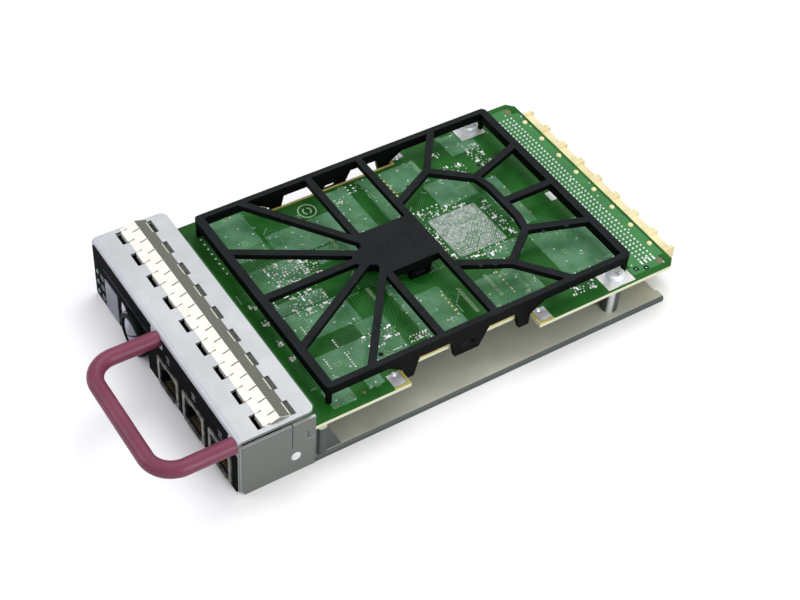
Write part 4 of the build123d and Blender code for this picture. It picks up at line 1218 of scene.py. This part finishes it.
@dataclass
class CircuitBoard:
    """Main board: mask, copper planes, tracks, vias, solder and the small parts on its top."""

    nodes: Nodes
    datum: Datum
    scatter: ScatterRecipe
    on_vertices: VertexRecipe
    ribbons: RibbonRecipe
    sunk: float = 0.02
    plane_height: float = 0.05
    track_height: float = 0.08
    track_width: float = 0.26
    bundle_count: int = 40
    bundle_area: tuple[Spot, Spot] = ((-36, 36), (40, 168))
    bundle_sizes: tuple[int, int] = (3, 6)
    bundle_turns: int = 3
    headings: int = 8
    run_lengths: Spot = (5, 20)
    track_pitches: tuple[float, ...] = (0.8, 1.0, 1.2)
    routed_half_width: float = 54.5
    routed_depths: Spot = (33, 175)
    unrouted_half_width: float = 46.0
    unrouted_depths: Spot = (69, 130.5)
    seed: int = 11
    border: float = 1.0
    border_height: float = 0.04
    beside_pads: float = 5.8
    recess_edge: float = 47.6
    half_width: float = 56.0
    recess: Spot = (71.1, 128.5)
    planes: tuple[Patch, ...] = as_patches(
        (28.5, 164.5, 27, 24), (-22.5, 141, 15, 18), (16.5, 139.5, 7.5, 15), (34, 129.5, 18, 25),
        (-38, 128.5, 14, 17), (-32, 112.6, 26, 5), (-32, 99.6, 26, 9), (31, 100.6, 22, 11),
        (26, 89.6, 32, 3), (35.5, 61, 14, 38), (-28, 76.6, 15, 29), (-15.5, 82, 8, 17),
        (-39.5, 52, 25, 17), (13, 59.6, 15, 25), (2, 55.6, 6, 23), (-12.5, 57, 17, 22),
        (-45, 160, 12, 14), (-6, 157, 30, 9), (24.5, 74, 7, 12), (48, 45.5, 9.5, 10),
        (48.1, 60, 5.3, 6.5),
    )
    rear_planes: tuple[Patch, ...] = as_patches(
        (0, 185.2, 98, 16.4), (0, 33.6, 96, 4.0), (51.1, 183.1, 4.2, 15.2),
        (-51.1, 183.1, 4.2, 15.2),
    )
    ball_field: Patch = Patch(0, 133.6, 23.5, 22.5, 1.0)
    ball_grid: Patch = Patch(0, 133.6, 22.0, 21.0)
    field_height: float = 0.06
    crowded: tuple[Patch, ...] = as_patches(
        (-35, 162.5, 14, 7), (-31.5, 148, 7, 12), (-43, 147, 3, 4), (-38, 98, 4, 6),
        (48, 154.5, 6, 11), (-14, 62, 12, 20), (1.5, 59.5, 13, 15), (31, 73.5, 6, 13),
        (38, 85.5, 2.5, 7), (-5, 40, 3, 2.5), (5, 40, 3, 2.5), (16, 40, 3, 2.5), (24, 40, 3, 2.5),
        (14.5, 131, 4, 20), (-14.5, 131, 4, 20), (0, 148, 22, 4), (0, 120, 22, 3),
    )
    gold_rows: tuple[DotRow, ...] = as_rows(
        (25, 130.1, 2.4, 0, 6), (25, 105.1, 2.2, 0, 6), (-40, 120.1, 2.5, 0, 5),
        (43.5, 120, 0, 3.0, 3),
    )
    hatch_rows: tuple[DotRow, ...] = as_rows(
        (26, 140.1, 0.8, 0, 12), (30, 136.1, 0.8, 0, 12), (24, 125.1, 0.8, 0, 16),
        (25, 112.1, 0.8, 0, 18), (-14, 45, 0.8, 0, 9), (8, 82, 0.8, 0, 9), (-45, 136, 0.8, 0, 10),
        (-24, 84, 0.8, 0, 10),
    )
    via_rows: tuple[DotRow, ...] = as_rows(
        (-44.5, 104.5, 1.9, 0, 3), (-44.5, 107.0, 1.9, 0, 3), (-18, 120, 0, 2.2, 6),
        (20.5, 126, 0, 2.2, 6), (-46, 40, 3.0, 0, 8),
    )
    pad_rows: tuple[DotRow, ...] = as_rows(
        (-18.9, 66.1, 1.23, 0, 8), (-18.7, 67.3, 1.23, 0, 7), (13.1, 50.2, 1.21, 0, 4),
        (24.2, 57.1, 1.19, 0, 4), (38.0, 66.4, 1.39, 0, 3), (35.2, 69.3, 0, 1.14, 4),
        (39.4, 74.1, 0, 1.04, 4), (36.8, 83.0, 0, 1.37, 6), (39.3, 81.9, 0, 1.27, 7),
        (8.6, 55.4, 0, 1.32, 4), (30.9, 49.5, 1.20, 0, 5), (31.8, 57.8, 1.23, 0, 7),
        (-4.1, 47.7, 1.35, 0, 4), (-4.0, 58.5, 1.17, 0, 6),
    )
    pad_height: float = 0.07
    brown_dots: tuple[Spot, ...] = ((51.3, 42.6), (51.2, 54.0), (-51.3, 42.6), (-51.2, 54.0))
    tooling_mark: Spot = (38.8, 68.8)
    screw_pads: tuple[Patch, ...] = as_patches(
        (50.5, 168.5, 9, 13, 0.4), (-49.5, 168, 9, 12, 0.4),
    )
    end_pads: tuple[Patch, ...] = as_patches(
        (51.8, 132.4, 6.0, 5.4, 0.3), (51.8, 67.2, 6.0, 5.4, 0.3), (-51.8, 132.4, 6.0, 5.4, 0.3),
        (-51.8, 67.2, 6.0, 5.4, 0.3),
    )
    plain_label: Patch = Patch(0.5, 175, 5, 4, 0.3)
    ring_mark: tuple[float, float, float] = (-40.0, 84.0, 3.9)
    ring_width: float = 0.5
    inner_shares: Spot = (0.35, 0.5)
    inner_arcs: tuple[Spot, ...] = ((20, 160), (200, 340))
    disc_radii: Spot = (0.05, 1.5)
    corner_marks: tuple[Spot, ...] = ((-51.3, 189.6), (51.3, 189.6))
    ink_height: float = 0.12
    thin_ink: float = 0.07
    tick_width: float = 0.16
    pin_pitch: float = 2.0
    pins_per_row: int = 48
    pin_rows: int = 4
    half_pin: float = 0.3
    long_land_away: float = 1.9
    peg_vias: DotRow = DotRow(-36, 192.1, 12, 0, 7)
    dark_squares: tuple[Spot, ...] = ((52.0, 182.6), (50.6, 178.6), (-48.5, 181.0))
    end_blobs: tuple[Spot, ...] = ((-49.4, 67.6), (-49.4, 132.0), (49.4, 67.6), (49.4, 132.0))
    ball_columns: int = 23
    ball_rows: int = 22

    def plates(self, name: str, patches: Iterable[Patch], finish: Finish, height: float) -> None:
        """Thin plates that stand so high over the board, none of them over another."""
        outlines = [p.outline(self.datum, self.datum.board_top - self.sunk) for p in patches]
        Solid().plates(outlines, Vector((0, 0, height + self.sunk))).piece(name, finish)

    def repeat(self, name: str, places: Iterable[Spot], finish: Finish, copy: Solid) -> None:
        """Copies of a solid at given places across and depths of the board."""
        points = [self.datum.at(x, depth, self.datum.board_top) for x, depth in places]
        self.on_vertices.run(name, carrier(points), finish, copy)

    def repeat_rows(self, name: str, rows: Iterable[DotRow], finish: Finish, copy: Solid) -> None:
        """Copies of a solid along rows of the board."""
        self.repeat(name, [place for row in rows for place in row.places()], finish, copy)

    def strew(
        self,
        name: str,
        patches: Iterable[Patch],
        finish: Finish,
        copy: Solid,
        spacing: float,
        seed: int,
        least: float = 0.7,
    ) -> None:
        """Strew copies of a solid over patches of the board.

        Args:
            name: the piece's name.
            patches: where they lie.
            finish: what they are made of.
            copy: the solid that is repeated.
            spacing: least distance between two copies.
            seed: seed of the draw.
            least: the smallest copy's share of the full size.
        """
        points = [p for patch in patches for p in patch.corners(self.datum, self.datum.board_top)]
        faces = [range(first, first + 4) for first in range(0, len(points), 4)]
        start = carrier(points, faces=faces)
        self.scatter.run(name, start, finish, copy, Spacing=spacing * MM, Least=least, Seed=seed)

    def borders(self) -> list[Patch]:
        """Strips of bare laminate round the recesses and beside the tinned end pads."""
        front, rear = self.recess
        middle, length = (front + rear) / 2, rear - front
        across = (self.recess_edge + self.half_width) / 2
        reach = self.half_width - self.recess_edge
        corner = 0.05
        strips = []
        for side in (-1, 1):
            edge = side * (self.recess_edge - self.border / 2)
            strips.append(Patch(edge, middle, self.border, length + 2 * self.border, corner))
            outer = side * (self.half_width - self.border / 2)
            for end, away in ((front, -1), (rear, 1)):
                depth = end + away * self.border / 2
                strips.append(Patch(side * across, depth, reach, self.border, corner))
                beyond = end + away * (self.border + self.beside_pads / 2)
                strips.append(Patch(outer, beyond, self.border, self.beside_pads, corner))
        return strips

    def bundles(self) -> list[TrackBundle]:
        """Track bundles, from a fixed draw."""
        draw = random.Random(self.seed)
        found = []
        for _ in range(self.bundle_count):
            runs = tuple(
                (draw.uniform(*self.run_lengths), draw.choice((-1, 0, 1)))
                for _ in range(self.bundle_turns)
            )
            x, depth = (draw.uniform(*span) for span in self.bundle_area)
            count, pitch = draw.randint(*self.bundle_sizes), draw.choice(self.track_pitches)
            found.append(TrackBundle(x, depth, draw.randrange(self.headings), runs, count, pitch))
        return found

    def routed(self, point: Vector) -> bool:
        """Whether a point lies on the board, clear of its edges and recesses."""
        x, depth = self.datum.spot(point)
        (front, rear), (low, high) = self.routed_depths, self.unrouted_depths
        in_recess = abs(x) > self.unrouted_half_width and low < depth < high
        return abs(x) < self.routed_half_width and front < depth < rear and not in_recess

    def tracks(self) -> None:
        """Tracks and the vias at their ends."""
        middle = self.datum.board_top + self.track_height / 2
        every = [track for bundle in self.bundles() for track in bundle.tracks(self.datum, middle)]
        points, edges, tips = [], [], []
        for track in every:
            if all(self.routed(point) for point in track):
                first = len(points)
                points.extend(track)
                edges.extend((first + i, first + i + 1) for i in range(len(track) - 1))
                tips.extend(self.datum.spot(end) for end in (track[0], track[-1]))
        size = {"Width": self.track_width * MM, "Height": self.track_height * MM}
        self.ribbons.run("signal_tracks", carrier(points, edges), TRACK, **size)
        via = Solid().dome(radius=0.36, height=0.12, sides=6)
        self.repeat("track_vias", tips, DULL_VIA, via)

    def laminate(self) -> None:
        """Copper planes, bare borders, tinned pads and the plain label."""
        for name, patches, finish, height in (
            ("copper_planes", self.planes, COPPER_PLANE, self.plane_height),
            ("rear_planes", self.rear_planes, REAR_PLANE, self.plane_height),
            ("bare_borders", self.borders(), BARE_LAMINATE, self.border_height),
            ("screw_pads", self.screw_pads, BRIGHT_LAND, self.pad_height),
            ("end_pads", self.end_pads, TINNED_LAND, self.pad_height),
            ("ball_field", [self.ball_field], SILVERED_FIELD, self.field_height),
            ("plain_label", [self.plain_label], WHITE_INK, self.ink_height),
        ):
            self.plates(name, patches, finish, height)

    def legend(self) -> None:
        """Printed ring, hatched rows, small outlines and the marks near the rear corners."""
        x, depth, radius = self.ring_mark
        middle = self.datum.at(x, depth, self.datum.board_top)
        rings = Solid().ring(middle, (radius - self.ring_width, radius), self.thin_ink)
        inner, outer = (radius * share for share in self.inner_shares)
        for arc in self.inner_arcs:
            rings.ring(middle, (inner, outer), self.thin_ink, arc)
        rings.piece("ring_mark", PALE_INK)
        thick, tick = self.ink_height, self.tick_width
        dash = Solid().block((0.3, 1.5, thick))
        self.repeat_rows("hatched_rows", self.hatch_rows, PALE_INK, dash)
        outline = Solid()
        for side in (-1, 1):
            outline.block((2.6, tick, thick), middle=(0, side * 0.8, 0))
            outline.block((tick, 1.44, thick), middle=(side * 1.22, 0, 0))
        self.strew("part_outlines", self.planes, PALE_INK, outline, 7.5, seed=21, least=0.6)
        corner = Solid().block((1.6, tick, thick), middle=(0.8, 0, 0))
        corner.block((tick, 1.2, thick), middle=(0, 0.7, 0))
        self.strew("corner_ticks", self.planes, WHITE_INK, corner, 6.0, seed=23, least=0.5)
        discs = Solid()
        for place in self.corner_marks:
            discs.ring(self.datum.at(*place, self.datum.board_top), self.disc_radii, self.thin_ink)
        discs.piece("corner_marks", BARE_COPPER, Slot.BOARD)

    def pin_lands(self) -> None:
        """Solder round the connector's pins, long lands at its end, and single marks."""
        low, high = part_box("connector_pins")
        first_x, first_depth = (place + self.half_pin for place in self.datum.spot(low))
        last_x = high.x / MM - self.half_pin
        rows = [first_depth + self.pin_pitch * row for row in range(self.pin_rows)]
        columns = [first_x + self.pin_pitch * i for i in range(self.pins_per_row)]
        places = [(x, depth) for depth in rows for x in columns if x < last_x + self.half_pin]
        ends = [(last_x + self.long_land_away, depth) for depth in rows]
        squares = self.dark_squares
        for name, where, finish, copy in (
            ("pin_lands", places, SOLDER, Solid().dome(0.54, 0.16)),
            ("long_lands", ends, SOLDER, Solid().block((2.2, 0.85, 0.24), bevel=0.1)),
            ("peg_vias", self.peg_vias.places(), BARE_COPPER, Solid().dome(0.5, 0.08)),
            ("dark_squares", squares, HOLE_SHADE_AND_DARK_MASK, Solid().block((2.1, 2.1, 0.14), bevel=0.04)),
            ("brown_dots", self.brown_dots, BARE_COPPER, Solid().dome(0.75, 0.12, sides=12)),
            # the tooling hole: a near-black dome of painted shade in place of the hole's dark
            # inside
            ("tooling_mark", [self.tooling_mark], HOLE_SHADE_AND_DARK_MASK, Solid().dome(1.2, 0.14, sides=14)),
            ("square_dots", squares, SOLDER, Solid().dome(0.35, 0.16)),
        ):
            self.repeat(name, where, finish, copy)

    def joints(self) -> None:
        """Solder joints, vias, test points and pads."""
        joint, tight = Solid().dome(0.46, 0.35), Solid().dome(0.4, 0.3)
        via = Solid().dome(0.24, 0.1, sides=6)
        every = [*self.planes, *self.rear_planes]
        self.strew("solder_joints", every, SOLDER, joint, 6.5, seed=3)
        self.strew("crowded_joints", self.crowded, SOLDER, tight, 1.2, seed=5, least=0.45)
        self.strew("plane_vias", self.planes, DULL_VIA, via, 2.3, seed=7)
        for name, rows, finish, copy in (
            ("test_points", self.gold_rows, GOLD, Solid().dome(0.55, 0.14, sides=10)),
            ("bright_vias", self.via_rows, SOLDER, Solid().dome(0.45, 0.16)),
            ("small_pads", self.pad_rows, SOLDER, Solid().dome(0.42, 0.2, sides=6)),
        ):
            self.repeat_rows(name, rows, finish, copy)
        large_pad = Solid().block((2.3, 1.25, 0.3), bevel=0.1)
        self.strew("large_pads", self.crowded, SOLDER, large_pad, 5.2, seed=17, least=0.6)

    def ball_lands(self) -> None:
        """The processor's ball grid, with specks of solder between its lands."""
        grid, columns = self.ball_grid, self.ball_columns
        step_x, step_depth = grid.width / (columns - 1), grid.length / (self.ball_rows - 1)
        x, depth = grid.x - grid.width / 2, grid.depth - grid.length / 2
        rows = [
            DotRow(x, depth + step_depth * row, step_x, 0, columns) for row in range(self.ball_rows)
        ]
        self.repeat_rows("ball_lands", rows, TINNED_LAND, Solid().dome(0.3, 0.14, sides=6))
        speck = Solid().dome(0.42, 0.24, sides=6)
        self.strew("field_specks", [grid], SOLDER, speck, 1.5, seed=9, least=0.4)

    def small_parts(self) -> None:
        """Blobs at the end pads, and small ceramic parts, each with its two soldered ends."""
        self.repeat("end_blobs", self.end_blobs, SOLDER, Solid().dome(1.1, 1.0, sides=12))
        body, caps = Solid().block((0.9, 0.8, 0.9), bevel=0.06), Solid()
        for side in (-1, 1):
            caps.block((0.4, 0.9, 1.0), middle=(side * 0.62, 0, 0), bevel=0.06)
        for name, finish, copy in (("part_bodies", CERAMIC_TAN, body), ("part_caps", SOLDER, caps)):
            self.strew(name, self.crowded, finish, copy, 3.9, seed=13, least=1.0)

    def build(self) -> None:
        """Dress the board and add what stands on it."""
        dress(self.nodes, BOARD, "main_board")
        dress(self.nodes, SOLDER, "connector_pins")
        dress(self.nodes, COMPOUND, "processor", "flash_chip", "alarm_buzzer")
        for stem in ("memory_chip", "logic_chip", "inductor"):
            dress(self.nodes, COMPOUND, *numbered(stem, 2))
        dress(self.nodes, CAN, "crystal", *numbered("capacitor", 3))
        self.laminate()
        self.tracks()
        self.legend()
        self.pin_lands()
        self.joints()
        self.ball_lands()
        self.small_parts()


@dataclass
class Guard:
    """The moulded web over the board, with its ejector marks."""

    nodes: Nodes
    datum: Datum
    on_vertices: VertexRecipe
    ribs: tuple[tuple[float, float, float, float], ...] = (
        (0.8, 84, 0.8, 42), (-2, 86, -27, 42), (4, 86, 28, 42), (-7, 88, -45, 60),
        (8, 88, 45, 60), (-14, 88.6, -46, 88.6), (15, 88.6, 46, 88.6), (-14, 112.2, -46, 112.2),
        (15, 112.2, 46, 112.2), (-23, 118, -28, 130), (25, 118, 30, 130), (-20, 147, -25, 170),
        (22, 147, 26, 170), (33, 135, 45, 147), (-31, 135, -45, 147),
    )
    shares: Spot = (0.25, 0.68)
    mark_radius: float = 0.85
    mark_height: float = 0.05
    hub: Spot = (0.8, 99.5)
    outer_arc: tuple[Spot, Spot] = ((6.4, 6.8), (20, 165))
    inner_arc: tuple[Spot, Spot] = ((3.2, 3.5), (200, 320))

    def marks(self) -> None:
        """Round ejector marks on the ribs and two faint raised arcs on the hub."""
        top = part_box("cover_frame")[1].z / MM
        points = [
            self.datum.at(x1 + (x2 - x1) * share, d1 + (d2 - d1) * share, top)
            for x1, d1, x2, d2 in self.ribs
            for share in self.shares
        ]
        mark = Solid().dome(self.mark_radius, self.mark_height, sides=14)
        self.on_vertices.run("ejector_marks", carrier(points), GUARD_MARK, mark)
        middle = self.datum.at(*self.hub, top)
        arcs = Solid()
        for radii, arc in (self.outer_arc, self.inner_arc):
            arcs.ring(middle, radii, self.mark_height, arc)
        arcs.piece("hub_arcs", GUARD)

    def build(self) -> None:
        """Dress the web and mark it."""
        dress(self.nodes, GUARD, "cover_frame")
        self.marks()


@dataclass
class Receptacle:
    """The row of cream modules under the board's rear edge."""

    nodes: Nodes
    module_count: int = 8

    def build(self) -> None:
        """Dress the modules."""
        dress(self.nodes, CREAM, *numbered("receptacle_module", self.module_count))


def main() -> None:
    """Build the scene round the frame."""
    logging.basicConfig(level=logging.INFO, format="%(message)s")
    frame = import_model()
    nodes = frame["nodes"]
    datum = Datum()
    on_vertices = VertexRecipe()
    Studio().build()
    Metalwork(nodes, datum).build()
    FrontPanel(nodes).build()
    CircuitBoard(nodes, datum, ScatterRecipe(), on_vertices, RibbonRecipe()).build()
    Guard(nodes, datum, on_vertices).build()
    Receptacle(nodes).build()


if __name__ == "__main__":
    main()
